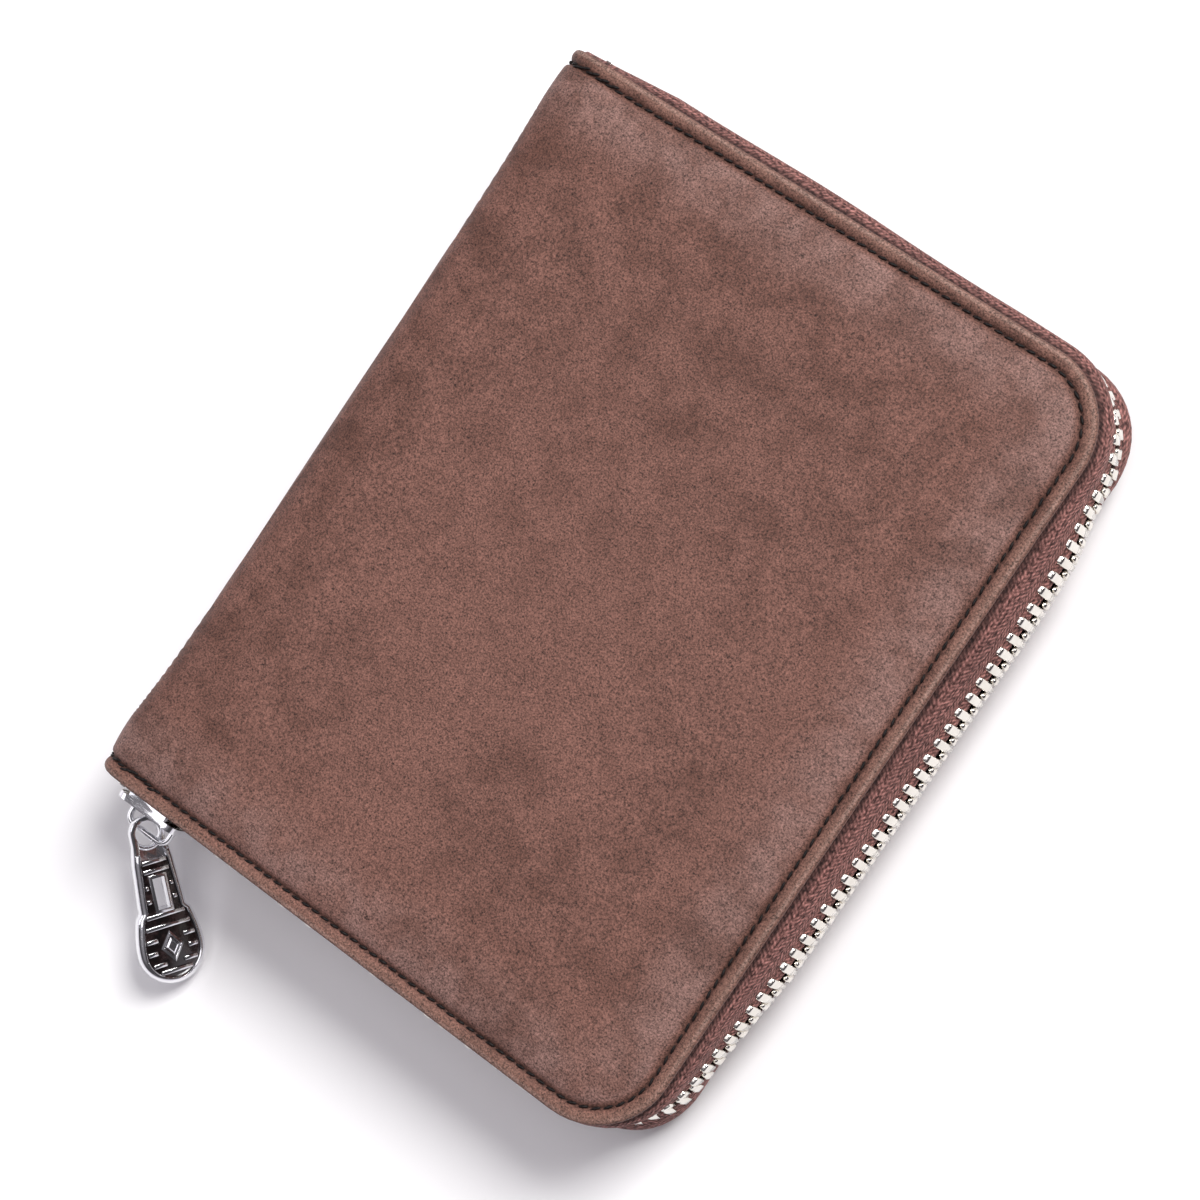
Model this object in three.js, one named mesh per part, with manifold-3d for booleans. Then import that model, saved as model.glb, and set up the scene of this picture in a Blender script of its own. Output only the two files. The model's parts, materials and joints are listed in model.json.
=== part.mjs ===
// A closed zip-around leather wallet lying on its back cover.
// Millimetres. X runs from the spine to the long zip side, Y along the spine, Z up.
// The origin is the centre of the back cover's underside.

import * as THREE from "three";
import { mergeVertices } from "three/addons/utils/BufferGeometryUtils.js";
import Module from "manifold-3d";

const wasm = await Module();
wasm.setup();

// covers
const coverLength = 120; // along the spine
const coverWidth = 93; // spine to zip side
const cornerRadius = 11.5;
const cornerSegments = 6;
const edgeHeight = 19.3; // outer face of one rim to the outer face of the other
const padRise = 1.2; // how far the padded panel stands out from the rim
const padSlope = 2.6; // width of the panel's sloping border
const coverThickness = 1.5; // leather and its turned edge at the rim
const leatherThickness = 1.0; // over the padding
const paddingInset = 6;
const seamInset = 2.25;
const threadWidth = 0.6;
const threadRise = 0.25;
const boardThickness = 0.65;
const boardInset = 5.3;
const liningThickness = 0.7;
const liningInset = 1.7;
const layerGap = 0.05;

// spine
const spineBulge = 1.2;
const spineGap = 0.3;
const spineLiningThickness = 0.6;
const spineLiningHeight = 11.6;

// zip
const tapeThickness = 0.6;
const tapeFlange = 4.2; // width of the tape sewn in under the cover
const tapeStraight = 5.3; // height above the middle of the zip to which the tape stands straight
const chainOffset = 0.2; // the chain's centre line beyond the edge of the cover
const beadInner = 1.6;
const beadOuter = 3.0;
const beadThickness = 2.2;
const toothPitch = 2.4;
const toothWidth = 0.9;
const toothThickness = 2.0;
const toothReach = 0.9; // how far a tooth passes the middle of the zip
const zipStart = 2.5; // from the edge of the spine to the first bead of the zip
const tapeTail = 1.3; // tape beyond the last tooth
const stopLength = 1.0;

// zip slider and puller
const sliderLength = 10.6;
const sliderHeight = 9.4;
const sliderPlate = 0.9;
const sliderClearance = 0.25;
const flangeHeight = 1.0;
const slotClearance = 0.35;
const postLength = 2.4;
const postHeight = 1.2;
const bridgeStandoff = 2.8; // outer plate to the centre of the bridge's bar
const bridgeSpan = 6.2; // clear length inside the bridge
const bridgeThickness = 0.8;
const bridgeWidth = 1.1;
const eyeRadius = 2.55;
const eyeHole = 1.8;
const eyeThickness = 1.1;
const pullerLength = 22.2; // centre of the eye to the tip
const pullerNeck = 6.9;
const pullerHead = 9.9;
const pullerThickness = 2.0;
const pullerRim = 0.75;
const inlayDepth = 0.7;
const windowLength = 4.6;
const windowWidth = 1.7;
const windowStart = 6.6; // centre of the eye to the window
const pullerDrop = 0.3; // eye below the bar it hangs on
const pullerHeading = -49; // degrees from +X
const pullerDroop = 20.3;
const pullerRoll = 42;

// inside
const pocketInset = 4.2; // at the two short sides
const pocketSideInset = 2.6; // at the spine and the long zip side
const pocketSheet = 0.6;
const billPocketTop = 4; // bill pocket's mouth below the lining's top edge
const cardSlots = 4;
const cardStep = 13;
const cardBorder = 0.9; // sewn edge each side of a card slot
const coinPocketDepth = 1.6;
const coinPocketWall = 1.2;
const coinPocketTop = 8;
const coinZipFromTop = 16;
const coinZipLength = 62;
const coinZipWidth = 6;
const coinZipTeethWidth = 2.4;
const coinZipTeethRise = 0.5;
const coinSliderLength = 5.6;
const coinSliderWidth = 4.2;
const coinSliderThickness = 0.9;
const coinPegWidth = 0.7;
const coinPegHead = 2.1;
const coinPegHeadThickness = 0.3;
const coinPullerLength = 13;
const coinPullerWidth = 3.2;
const coinPullerThickness = 0.7;

const halfLength = coverLength / 2;
const halfWidth = coverWidth / 2;
const rimHeight = edgeHeight / 2;
const middle = padRise + rimHeight;
const cornerX = halfWidth - cornerRadius;
const cornerY = halfLength - cornerRadius;
const coverInner = rimHeight - coverThickness;
const flangeOuter = coverInner - layerGap;
const boardInner = flangeOuter - boardThickness;
const liningOuter = boardInner - layerGap;
const liningInner = liningOuter - liningThickness;

const leather = () => new THREE.MeshStandardMaterial({ color: 0x7c5a51, roughness: 0.85 });
const lining = () => new THREE.MeshStandardMaterial({ color: 0x5b4038, roughness: 0.8 });
const padding = () => new THREE.MeshStandardMaterial({ color: 0xc9c4b8, roughness: 1 });
const board = () => new THREE.MeshStandardMaterial({ color: 0x9a8b74, roughness: 0.95 });
const thread = () => new THREE.MeshStandardMaterial({ color: 0x15100f, roughness: 0.7 });
const tape = () => new THREE.MeshStandardMaterial({ color: 0x6b4139, roughness: 0.9 });
const metal = () => new THREE.MeshStandardMaterial({ color: 0xc9c9cc, roughness: 0.2, metalness: 1 });
const enamel = () => new THREE.MeshStandardMaterial({ color: 0x120d0c, roughness: 0.35 });

// ---- solids ----

function solid(geometry) {
  const plain = geometry.clone();
  plain.deleteAttribute("normal");
  plain.deleteAttribute("uv");
  const merged = mergeVertices(plain, 1e-4);
  return new wasm.Manifold(
    new wasm.Mesh({
      numProp: 3,
      vertProperties: new Float32Array(merged.attributes.position.array),
      triVerts: new Uint32Array(merged.index.array),
    }),
  );
}

function geometryOf(made) {
  const mesh = made.getMesh();
  const geometry = new THREE.BufferGeometry();
  geometry.setAttribute("position", new THREE.BufferAttribute(mesh.vertProperties, 3));
  geometry.setIndex(new THREE.BufferAttribute(mesh.triVerts, 1));
  geometry.computeVertexNormals();
  return geometry;
}

function joined(...pieces) {
  return geometryOf(pieces.map(solid).reduce((a, b) => a.add(b)));
}

function cut(body, ...tools) {
  return geometryOf(tools.map(solid).reduce((a, b) => a.subtract(b), solid(body)));
}

function add(group, name, geometry, material) {
  const mesh = new THREE.Mesh(geometry, material);
  mesh.name = name;
  group.add(mesh);
  return mesh;
}

// A plate between two distances from the middle of the wallet, on the side given by sign.
function layer(shape, inner, outer, sign, options = {}) {
  const made = new THREE.ExtrudeGeometry(shape, {
    depth: outer - inner,
    bevelEnabled: false,
    curveSegments: cornerSegments,
    ...options,
  });
  return made.translate(0, 0, middle + (sign > 0 ? inner : -outer));
}

function rectangle(x0, y0, x1, y1, radius = 0) {
  const shape = new THREE.Shape();
  if (!radius) {
    shape.moveTo(x0, y0);
    shape.lineTo(x1, y0);
    shape.lineTo(x1, y1);
    shape.lineTo(x0, y1);
    shape.closePath();
    return shape;
  }
  shape.moveTo(x0 + radius, y0);
  shape.absarc(x1 - radius, y0 + radius, radius, -Math.PI / 2, 0);
  shape.absarc(x1 - radius, y1 - radius, radius, 0, Math.PI / 2);
  shape.absarc(x0 + radius, y1 - radius, radius, Math.PI / 2, Math.PI);
  shape.absarc(x0 + radius, y0 + radius, radius, Math.PI, Math.PI * 1.5);
  return shape;
}

// The cover's outline: straight at the spine, round at the two far corners.
function outline(inset, spineInset = inset) {
  const shape = new THREE.Shape();
  shape.moveTo(-halfWidth + spineInset, -halfLength + inset);
  shape.lineTo(cornerX, -halfLength + inset);
  shape.absarc(cornerX, -cornerY, cornerRadius - inset, -Math.PI / 2, 0);
  shape.absarc(cornerX, cornerY, cornerRadius - inset, 0, Math.PI / 2);
  shape.lineTo(-halfWidth + spineInset, halfLength - inset);
  shape.closePath();
  return shape;
}

// ---- the line that the zip and the seams follow ----

// The edge of the cover from the spine round the three open sides, with a station
// at each end of a straight run and at each facet of a corner.
class EdgeLine extends THREE.Curve {
  constructor(startX) {
    super();
    this.stations = [[startX, -halfLength, 0]];
    for (const [y, from] of [[-cornerY, -90], [cornerY, 0]])
      for (let i = 0; i <= cornerSegments * 2; i++) {
        const turn = THREE.MathUtils.degToRad(from + (i * 90) / (cornerSegments * 2));
        this.stations.push([
          cornerX + cornerRadius * Math.cos(turn),
          y + cornerRadius * Math.sin(turn),
          turn + Math.PI / 2,
        ]);
      }
    this.stations.push([startX, halfLength, Math.PI]);
  }
  station(t) {
    return this.stations[Math.round(t * (this.stations.length - 1))];
  }
  getPoint(t) {
    const [x, y] = this.station(t);
    return new THREE.Vector3(x, y, middle);
  }
  getPointAt(t) {
    return this.getPoint(t);
  }
  getTangent(t) {
    const heading = this.station(t)[2];
    return new THREE.Vector3(Math.cos(heading), Math.sin(heading), 0);
  }
  getTangentAt(t) {
    return this.getTangent(t);
  }
}

// A band round the edge. Its section is a list of [beyond the edge, from the middle].
function band(section, startX, sign) {
  const shape = new THREE.Shape(section.map(([out, high]) => new THREE.Vector2(-sign * high, -out)));
  const line = new EdgeLine(startX);
  return new THREE.ExtrudeGeometry(shape, {
    steps: line.stations.length - 1,
    extrudePath: line,
    bevelEnabled: false,
  });
}

// Where a point a given way along the chain's own line lies, and which way it faces.
function alongChain(distance, startX) {
  const radius = cornerRadius + chainOffset;
  const shortRun = cornerX - startX;
  const bend = (Math.PI / 2) * radius;
  const longRun = 2 * cornerY;
  const y = halfLength + chainOffset;
  let left = distance;
  if (left <= shortRun) return [startX + left, -y, 0];
  left -= shortRun;
  if (left <= bend) return around(-cornerY, -Math.PI / 2 + left / radius, radius);
  left -= bend;
  if (left <= longRun) return [halfWidth + chainOffset, -cornerY + left, Math.PI / 2];
  left -= longRun;
  if (left <= bend) return around(cornerY, left / radius, radius);
  left -= bend;
  return [cornerX - left, y, Math.PI];
}

function around(y, turn, radius) {
  return [cornerX + radius * Math.cos(turn), y + radius * Math.sin(turn), turn + Math.PI / 2];
}

const chainStart = -halfWidth + zipStart;
const chainLength =
  2 * (cornerX - chainStart) + 2 * cornerY + Math.PI * (cornerRadius + chainOffset);
const toothCount = Math.floor((chainLength - toothPitch) / toothPitch);
const sliderX = chainStart + sliderLength / 2; // its nose meets the top stops
const postX = sliderX - sliderLength / 2 + 0.6 + postLength / 2; // between the slider's plates, at its nose

// ---- one half of the wallet; sign is -1 for the back and 1 for the front ----

function half(name, sign) {
  const group = new THREE.Group();

  const slab = layer(outline(0, spineGap), coverInner, rimHeight, sign);
  const foot = seamInset + threadWidth / 2 + 0.15;
  const pad = layer(
    outline(foot + padSlope, spineGap + padSlope), rimHeight - 0.4, rimHeight + padRise, sign,
  );
  const slope = new THREE.ExtrudeGeometry(outline(foot + padSlope, spineGap + padSlope), {
    depth: 0.2,
    bevelThickness: padRise * 0.8,
    bevelSize: padSlope,
    bevelSegments: 2,
    curveSegments: cornerSegments,
  });
  slope.translate(0, 0, middle + sign * (rimHeight + padRise * 0.2 - 0.3) - 0.1 + sign * 0.1);
  const padTop = rimHeight + padRise - leatherThickness;
  const hollow = outline(paddingInset, paddingInset);
  const shell = cut(joined(slab, slope, pad), layer(hollow, coverInner - 1, padTop, sign));
  add(group, `${name}_cover`, shell, leather());
  const foam = outline(paddingInset + layerGap, paddingInset + layerGap);
  add(group, `${name}_padding`, layer(foam, coverInner, padTop - layerGap, sign), padding());

  add(group, `${name}_board`, layer(outline(boardInset, 1.5), boardInner, flangeOuter, sign), board());
  add(group, `${name}_lining`, layer(outline(liningInset, 1), liningInner, liningOuter, sign), lining());

  const seam = -seamInset;
  const threadSection = [
    [seam - threadWidth / 2, rimHeight],
    [seam + threadWidth / 2, rimHeight],
    [seam + threadWidth / 2, rimHeight + threadRise],
    [seam - threadWidth / 2, rimHeight + threadRise],
  ];
  add(group, `${name}_seam_thread`, band(threadSection, -halfWidth + spineGap + 0.4, sign), thread());

  // zip tape: sewn flat under the cover, then out and down to the chain
  const outer = chainOffset + tapeThickness / 2;
  const inner = chainOffset - tapeThickness / 2;
  const tapeSection = [
    [outer, beadOuter],
    [outer, tapeStraight + 0.1],
    [-liningInset + 1.1, flangeOuter],
    [-liningInset + 0.3 - tapeFlange + 0.9, flangeOuter],
    [-liningInset + 0.3 - tapeFlange + 0.9, flangeOuter - tapeThickness],
    [-liningInset + 0.4, flangeOuter - tapeThickness],
    [inner, tapeStraight - 0.1],
    [inner, beadOuter],
  ];
  add(group, `${name}_zip_tape`, band(tapeSection, chainStart - tapeTail, sign), tape());

  // teeth on their bead cord; the two rows stand half a pitch apart and mesh
  const beadSection = [
    [chainOffset - beadThickness / 2, beadInner],
    [chainOffset + beadThickness / 2, beadInner],
    [chainOffset + beadThickness / 2, beadOuter],
    [chainOffset - beadThickness / 2, beadOuter],
  ];
  const shift = sign > 0 ? toothPitch : toothPitch / 2;
  const teeth = [];
  for (let i = 0; i < toothCount; i++) {
    const [x, y, heading] = alongChain(shift + i * toothPitch, chainStart);
    if (y < 0 && Math.abs(x - postX) < postLength / 2 + toothWidth / 2 + 0.3) continue; // held apart by the post
    const high = beadInner + 0.5 + toothReach;
    teeth.push(
      new THREE.BoxGeometry(toothWidth, toothThickness, high)
        .rotateZ(heading)
        .translate(x, y, middle + sign * (high / 2 - toothReach)),
    );
  }
  add(group, `${name}_zip_teeth`, joined(band(beadSection, chainStart, sign), ...teeth), metal());

  // top stop at the slider's end of the row
  add(
    group,
    `${name}_top_stop`,
    new THREE.BoxGeometry(stopLength, beadThickness + 0.2, beadOuter - 0.5).translate(
      chainStart - 0.1 - stopLength / 2,
      -halfLength - chainOffset,
      middle + sign * (0.4 + (beadOuter - 0.5) / 2),
    ),
    metal(),
  );
  return group;
}

// ---- card side and coin side ----

function cardSide() {
  const group = new THREE.Group();
  const left = -halfWidth + pocketSideInset;
  const right = halfWidth - pocketSideInset;
  const low = -halfLength + pocketInset;
  let outer = liningInner - layerGap;
  const top = halfLength - pocketInset - billPocketTop;
  const bill = new THREE.Shape();
  bill.moveTo(left, low);
  bill.lineTo(right - 6, low);
  bill.absarc(right - 6, low + 6, 6, -Math.PI / 2, 0);
  bill.lineTo(right, top);
  bill.lineTo(left, top);
  bill.closePath();
  add(group, "bill_pocket", layer(bill, outer - pocketSheet, outer, -1), lining());
  outer -= pocketSheet + layerGap;
  for (let i = 0; i < cardSlots; i++) {
    const sheet = rectangle(left + cardBorder, low + 3, right - cardBorder, top - cardStep * (i + 1));
    add(group, `card_slot_${i + 1}`, layer(sheet, outer - pocketSheet, outer, -1), lining());
    outer -= pocketSheet + layerGap;
  }
  return group;
}

function coinSide() {
  const group = new THREE.Group();
  const left = -halfWidth + pocketSideInset;
  const right = halfWidth - pocketSideInset;
  const low = -halfLength + pocketInset + 3;
  const top = halfLength - coinPocketTop;
  const back = liningInner - layerGap;
  const front = back - pocketSheet - layerGap;
  const zipY = top - coinZipFromTop;
  const centre = (left + right) / 2;
  const zipLeft = centre - coinZipLength / 2;
  const zipRight = centre + coinZipLength / 2;

  add(group, "coin_pocket_back", layer(rectangle(left, low, right, top, 4), back - pocketSheet, back, 1), lining());

  const wall = rectangle(left, low, right, top, 4);
  wall.holes.push(
    rectangle(left + coinPocketWall, low + coinPocketWall, right - coinPocketWall, top - coinPocketWall, 3),
  );
  add(group, "coin_pocket_gusset", layer(wall, front - coinPocketDepth, front, 1), lining());

  const face = front - coinPocketDepth - layerGap;
  const panel = rectangle(left, low, right, top, 4);
  panel.holes.push(
    rectangle(zipLeft, zipY - coinZipWidth / 2, zipRight, zipY + coinZipWidth / 2),
  );
  add(group, "coin_pocket_panel", layer(panel, face - pocketSheet, face, 1), lining());

  const gap = layerGap;
  add(
    group,
    "coin_zip_tape",
    layer(
      rectangle(zipLeft + gap, zipY - coinZipWidth / 2 + gap, zipRight - gap, zipY + coinZipWidth / 2 - gap),
      face - pocketSheet,
      face,
      1,
    ),
    tape(),
  );
  const teethFace = face - pocketSheet;
  const teethPieces = [
    layer(
      rectangle(zipLeft + 1, zipY - coinZipTeethWidth / 4, zipRight - 1, zipY + coinZipTeethWidth / 4),
      teethFace - coinZipTeethRise,
      teethFace,
      1,
    ),
  ];
  for (let x = zipLeft + 1.6; x < zipRight - 1.6; x += 2 * toothPitch / 2)
    teethPieces.push(
      layer(
        rectangle(x, zipY - coinZipTeethWidth / 2, x + toothPitch / 2, zipY + coinZipTeethWidth / 2),
        teethFace - coinZipTeethRise + 0.1,
        teethFace,
        1,
      ),
    );
  add(group, "coin_zip_teeth", joined(...teethPieces), metal());

  const sliderX = zipRight - 1.5 - coinSliderLength / 2;
  const sliderFace = teethFace - coinZipTeethRise - 0.1;
  const pullFace = sliderFace - coinSliderThickness - 0.1;
  const pegEnd = pullFace - coinPullerThickness - 0.1;
  const square = (x, y, half) => rectangle(x - half, y - half, x + half, y + half);
  add(
    group,
    "coin_zip_slider",
    joined(
      layer(
        rectangle(
          sliderX - coinSliderLength / 2,
          zipY - coinSliderWidth / 2,
          sliderX + coinSliderLength / 2,
          zipY + coinSliderWidth / 2,
          1.4,
        ),
        sliderFace - coinSliderThickness,
        sliderFace,
        1,
      ),
      layer(square(sliderX, zipY, coinPegWidth / 2), pegEnd - 0.1, sliderFace - 0.1, 1),
      layer(square(sliderX, zipY, coinPegHead / 2), pegEnd - coinPegHeadThickness, pegEnd, 1),
    ),
    metal(),
  );
  const pull = rectangle(
    sliderX - coinPullerLength,
    zipY - coinPullerWidth / 2,
    sliderX + 1.4,
    zipY + coinPullerWidth / 2,
    1.2,
  );
  pull.holes.push(square(sliderX, zipY, coinPegWidth / 2 + 0.3));
  add(group, "coin_zip_puller", layer(pull, pullFace - coinPullerThickness, pullFace, 1), metal());
  return group;
}

// ---- spine ----

function spine() {
  const group = new THREE.Group();
  const skin = new THREE.Shape();
  const reach = rimHeight - 0.25;
  skin.moveTo(-halfWidth, -reach);
  skin.lineTo(-halfWidth, reach);
  for (let i = 0; i <= 8; i++) {
    const up = 1 - i / 4;
    const out = 0.35 + (spineBulge - 0.35) * Math.sqrt(1 - up * up * 0.96);
    skin.lineTo(-halfWidth - out, reach * up);
  }
  skin.closePath();
  const length = coverLength - 1.6;
  const upright = (shape, span) =>
    new THREE.ExtrudeGeometry(shape, { depth: span, bevelEnabled: false })
      .rotateX(Math.PI / 2)
      .translate(0, span / 2, middle);
  add(group, "spine_cover", upright(skin, length), leather());
  const strip = rectangle(
    -halfWidth + layerGap,
    -spineLiningHeight / 2,
    -halfWidth + layerGap + spineLiningThickness,
    spineLiningHeight / 2,
  );
  add(group, "spine_lining", upright(strip, coverLength - 2 * pocketInset), lining());
  return group;
}

// ---- slider, bridge and puller ----

const innerPlate = chainOffset - beadThickness / 2 - sliderClearance;
const outerPlate = chainOffset + beadThickness / 2 + sliderClearance;
const sliderFace = outerPlate + sliderPlate;
const barOut = sliderFace + bridgeStandoff;

// A plate of the slider, drawn in X and Z and standing between two distances beyond the edge.
function upright(shape, from, to) {
  return new THREE.ExtrudeGeometry(shape, { depth: to - from, bevelEnabled: false, curveSegments: 4 })
    .rotateX(Math.PI / 2)
    .translate(sliderX, -halfLength - from, middle);
}

function slider() {
  const group = new THREE.Group();
  const x = sliderLength / 2;
  const z = sliderHeight / 2;
  const plate = rectangle(-x, -z, x, z, 2);
  const flange = (sign) => rectangle(
    -x + 2, sign > 0 ? z - flangeHeight : -z, x - 2, sign > 0 ? z : -z + flangeHeight,
  );
  const slotOut = chainOffset + tapeThickness / 2 + slotClearance;
  const slotIn = chainOffset - tapeThickness / 2 - slotClearance;
  const postFrom = postX - sliderX - postLength / 2;
  const post = rectangle(postFrom, -postHeight / 2, postFrom + postLength, postHeight / 2);
  add(
    group,
    "slider_body",
    joined(
      upright(plate, outerPlate, sliderFace),
      upright(plate, innerPlate - sliderPlate, innerPlate),
      upright(flange(1), slotOut, outerPlate + 0.2),
      upright(flange(-1), slotOut, outerPlate + 0.2),
      upright(flange(1), innerPlate - 0.2, slotIn),
      upright(flange(-1), innerPlate - 0.2, slotIn),
      upright(post, innerPlate - 0.2, outerPlate + 0.2),
    ),
    metal(),
  );

  const span = bridgeSpan / 2;
  const wide = span + 0.9;
  const low = sliderFace + 0.05;
  const high = barOut + bridgeThickness / 2;
  const arch = new THREE.Shape();
  arch.moveTo(-wide, -low);
  arch.lineTo(-wide + 0.35, -high + 0.5);
  arch.lineTo(-wide + 1, -high);
  arch.lineTo(wide - 1, -high);
  arch.lineTo(wide - 0.35, -high + 0.5);
  arch.lineTo(wide, -low);
  arch.lineTo(span, -low);
  arch.lineTo(span, -high + bridgeThickness);
  arch.lineTo(-span, -high + bridgeThickness);
  arch.lineTo(-span, -low);
  arch.closePath();
  add(
    group,
    "slider_bridge",
    new THREE.ExtrudeGeometry(arch, { depth: bridgeWidth, bevelEnabled: false }).translate(
      sliderX,
      -halfLength,
      middle - bridgeWidth / 2,
    ),
    metal(),
  );
  return group;
}

// The puller's outline from the centre of its eye along +X.
function pullerOutline(inset) {
  const shape = new THREE.Shape();
  const eye = eyeRadius - inset;
  shape.absarc(0, 0, eye, Math.PI / 2, Math.PI * 1.5);
  shape.lineTo(1.5, -eye);
  shape.lineTo(4.2, -pullerNeck / 2 + inset);
  pullerHeadEdge(shape, inset);
  shape.lineTo(4.2, pullerNeck / 2 - inset);
  shape.lineTo(1.5, eye);
  shape.closePath();
  return shape;
}

// Along one side of the neck, round the head and back along the other.
function pullerHeadEdge(shape, inset) {
  const neck = pullerNeck / 2 - inset;
  const head = pullerHead / 2 - inset;
  const headX = pullerLength - pullerHead / 2;
  shape.lineTo(headX - 6.2, -neck);
  shape.lineTo(headX - 5.4, -head + 0.9);
  shape.lineTo(headX - 3.2, -head + 0.35);
  shape.absarc(headX, 0, head, -Math.PI / 2, Math.PI / 2);
  shape.lineTo(headX - 3.2, head - 0.35);
  shape.lineTo(headX - 5.4, head - 0.9);
  shape.lineTo(headX - 6.2, neck);
}

function enamelOutline(inset) {
  const neck = pullerNeck / 2 - pullerRim - inset;
  const shape = new THREE.Shape();
  shape.moveTo(eyeRadius + 1.6 + inset, neck);
  shape.lineTo(eyeRadius + 1.6 + inset, -neck);
  pullerHeadEdge(shape, pullerRim + inset);
  shape.closePath();
  return shape;
}

function puller() {
  const group = new THREE.Group();
  const flat = (shape, from, to) =>
    new THREE.ExtrudeGeometry(shape, { depth: to - from, bevelEnabled: false, curveSegments: 12 }).translate(
      0,
      0,
      from,
    );
  const hole = new THREE.Shape().absarc(0, 0, eyeHole, 0, Math.PI * 2);
  const window = rectangle(
    windowStart, -windowWidth / 2, windowStart + windowLength, windowWidth / 2,
  );
  const thick = pullerThickness / 2;
  const body = cut(
    flat(pullerOutline(0), -thick, thick),
    flat(hole, -thick - 1, thick + 1),
    flat(rectangle(-eyeRadius - 1, -eyeRadius - 1, eyeRadius + 0.2, eyeRadius + 1), eyeThickness / 2, thick + 1),
    flat(rectangle(-eyeRadius - 1, -eyeRadius - 1, eyeRadius + 0.2, eyeRadius + 1), -thick - 1, -eyeThickness / 2),
    flat(enamelOutline(0), thick - inlayDepth, thick + 1),
    flat(window, -thick - 1, thick + 1),
  );
  add(group, "puller_body", body, metal());
  add(
    group,
    "puller_inlay",
    cut(
      flat(enamelOutline(0.05), thick - inlayDepth + 0.05, thick - 0.15),
      flat(
        rectangle(windowStart - 0.25, -windowWidth / 2 - 0.25, windowStart + windowLength + 0.25, windowWidth / 2 + 0.25),
        -thick - 1,
        thick + 1,
      ),
    ),
    enamel(),
  );

  const heading = THREE.MathUtils.degToRad(pullerHeading);
  const droop = THREE.MathUtils.degToRad(pullerDroop);
  const along = new THREE.Vector3(
    Math.cos(heading) * Math.cos(droop),
    Math.sin(heading) * Math.cos(droop),
    -Math.sin(droop),
  );
  const side = new THREE.Vector3(-Math.sin(heading), Math.cos(heading), 0);
  const up = new THREE.Vector3().crossVectors(along, side);
  const roll = new THREE.Quaternion().setFromAxisAngle(along, THREE.MathUtils.degToRad(-pullerRoll));
  side.applyQuaternion(roll);
  up.applyQuaternion(roll);
  group.quaternion.setFromRotationMatrix(new THREE.Matrix4().makeBasis(along, side, up));
  group.position.set(sliderX, -halfLength - barOut, middle - pullerDrop);
  return group;
}

// The end of the zip away from the slider: a clip that holds the back row.
function bottomStop() {
  const geometry = new THREE.BoxGeometry(stopLength, beadThickness + 0.2, beadOuter - 0.3).translate(
    chainStart - 0.1 - stopLength / 2,
    halfLength + chainOffset,
    middle - (beadOuter - 0.3) / 2 + 0.1 - 0.3,
  );
  const group = new THREE.Group();
  add(group, "bottom_stop", geometry, metal());
  return group;
}

const wallet = new THREE.Group();
wallet.add(half("back", -1), cardSide(), spine(), half("front", 1), coinSide(), slider(), puller(), bottomStop());

export default wallet;
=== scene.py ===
import json
import math
import random

import bmesh
import bpy
import numpy as np
from mathutils import Matrix, Vector

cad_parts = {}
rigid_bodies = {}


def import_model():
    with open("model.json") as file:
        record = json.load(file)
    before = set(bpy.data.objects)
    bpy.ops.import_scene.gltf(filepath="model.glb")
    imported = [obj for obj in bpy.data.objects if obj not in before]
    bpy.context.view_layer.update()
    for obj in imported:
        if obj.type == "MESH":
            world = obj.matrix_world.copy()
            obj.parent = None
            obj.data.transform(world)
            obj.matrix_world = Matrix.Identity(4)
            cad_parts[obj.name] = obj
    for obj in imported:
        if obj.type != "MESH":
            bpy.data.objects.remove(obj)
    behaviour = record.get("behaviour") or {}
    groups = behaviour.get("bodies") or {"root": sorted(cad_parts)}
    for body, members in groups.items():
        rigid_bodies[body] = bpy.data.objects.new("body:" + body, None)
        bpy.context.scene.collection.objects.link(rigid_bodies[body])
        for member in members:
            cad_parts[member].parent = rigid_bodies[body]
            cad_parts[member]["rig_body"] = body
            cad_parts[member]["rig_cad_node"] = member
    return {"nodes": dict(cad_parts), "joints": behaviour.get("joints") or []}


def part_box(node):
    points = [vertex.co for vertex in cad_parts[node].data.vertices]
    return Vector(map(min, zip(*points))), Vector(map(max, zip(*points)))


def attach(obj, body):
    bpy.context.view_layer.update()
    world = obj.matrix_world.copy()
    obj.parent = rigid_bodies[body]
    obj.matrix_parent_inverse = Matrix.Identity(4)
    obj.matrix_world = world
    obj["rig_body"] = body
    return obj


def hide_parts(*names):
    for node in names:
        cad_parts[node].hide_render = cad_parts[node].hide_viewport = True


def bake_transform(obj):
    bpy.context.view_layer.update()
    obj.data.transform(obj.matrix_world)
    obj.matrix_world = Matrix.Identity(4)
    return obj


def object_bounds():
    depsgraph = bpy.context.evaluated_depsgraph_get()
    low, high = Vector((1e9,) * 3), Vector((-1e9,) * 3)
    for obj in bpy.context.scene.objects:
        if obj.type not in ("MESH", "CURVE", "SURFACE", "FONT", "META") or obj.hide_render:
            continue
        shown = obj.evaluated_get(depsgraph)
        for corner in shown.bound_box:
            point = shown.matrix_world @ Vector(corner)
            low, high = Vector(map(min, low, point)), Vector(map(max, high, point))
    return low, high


# A closed zip-around leather wallet on its back cover.
# Metres; X runs from the spine to the zip side, Y along the spine, Z up.
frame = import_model()
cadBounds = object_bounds()
mm = 0.001
turn = math.radians

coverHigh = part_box("front_cover")[1]
foldBack, foldFront = [Vector(j["pos_m"]) for j in frame["joints"] if j["name"].startswith("spine_fold")]
middle = (foldBack.z + foldFront.z) / 2
rimHeight = foldFront.z - middle
halfLength = coverHigh.y
zipSide = coverHigh.x
spineSide = foldFront.x
cornerRadius = 11.5 * mm
floorHeight = cadBounds[0].z


def deselectAll():
    for item in bpy.context.selected_objects:
        item.select_set(False)


def makeActive(piece):
    deselectAll()
    piece.select_set(True)
    bpy.context.view_layer.objects.active = piece


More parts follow.
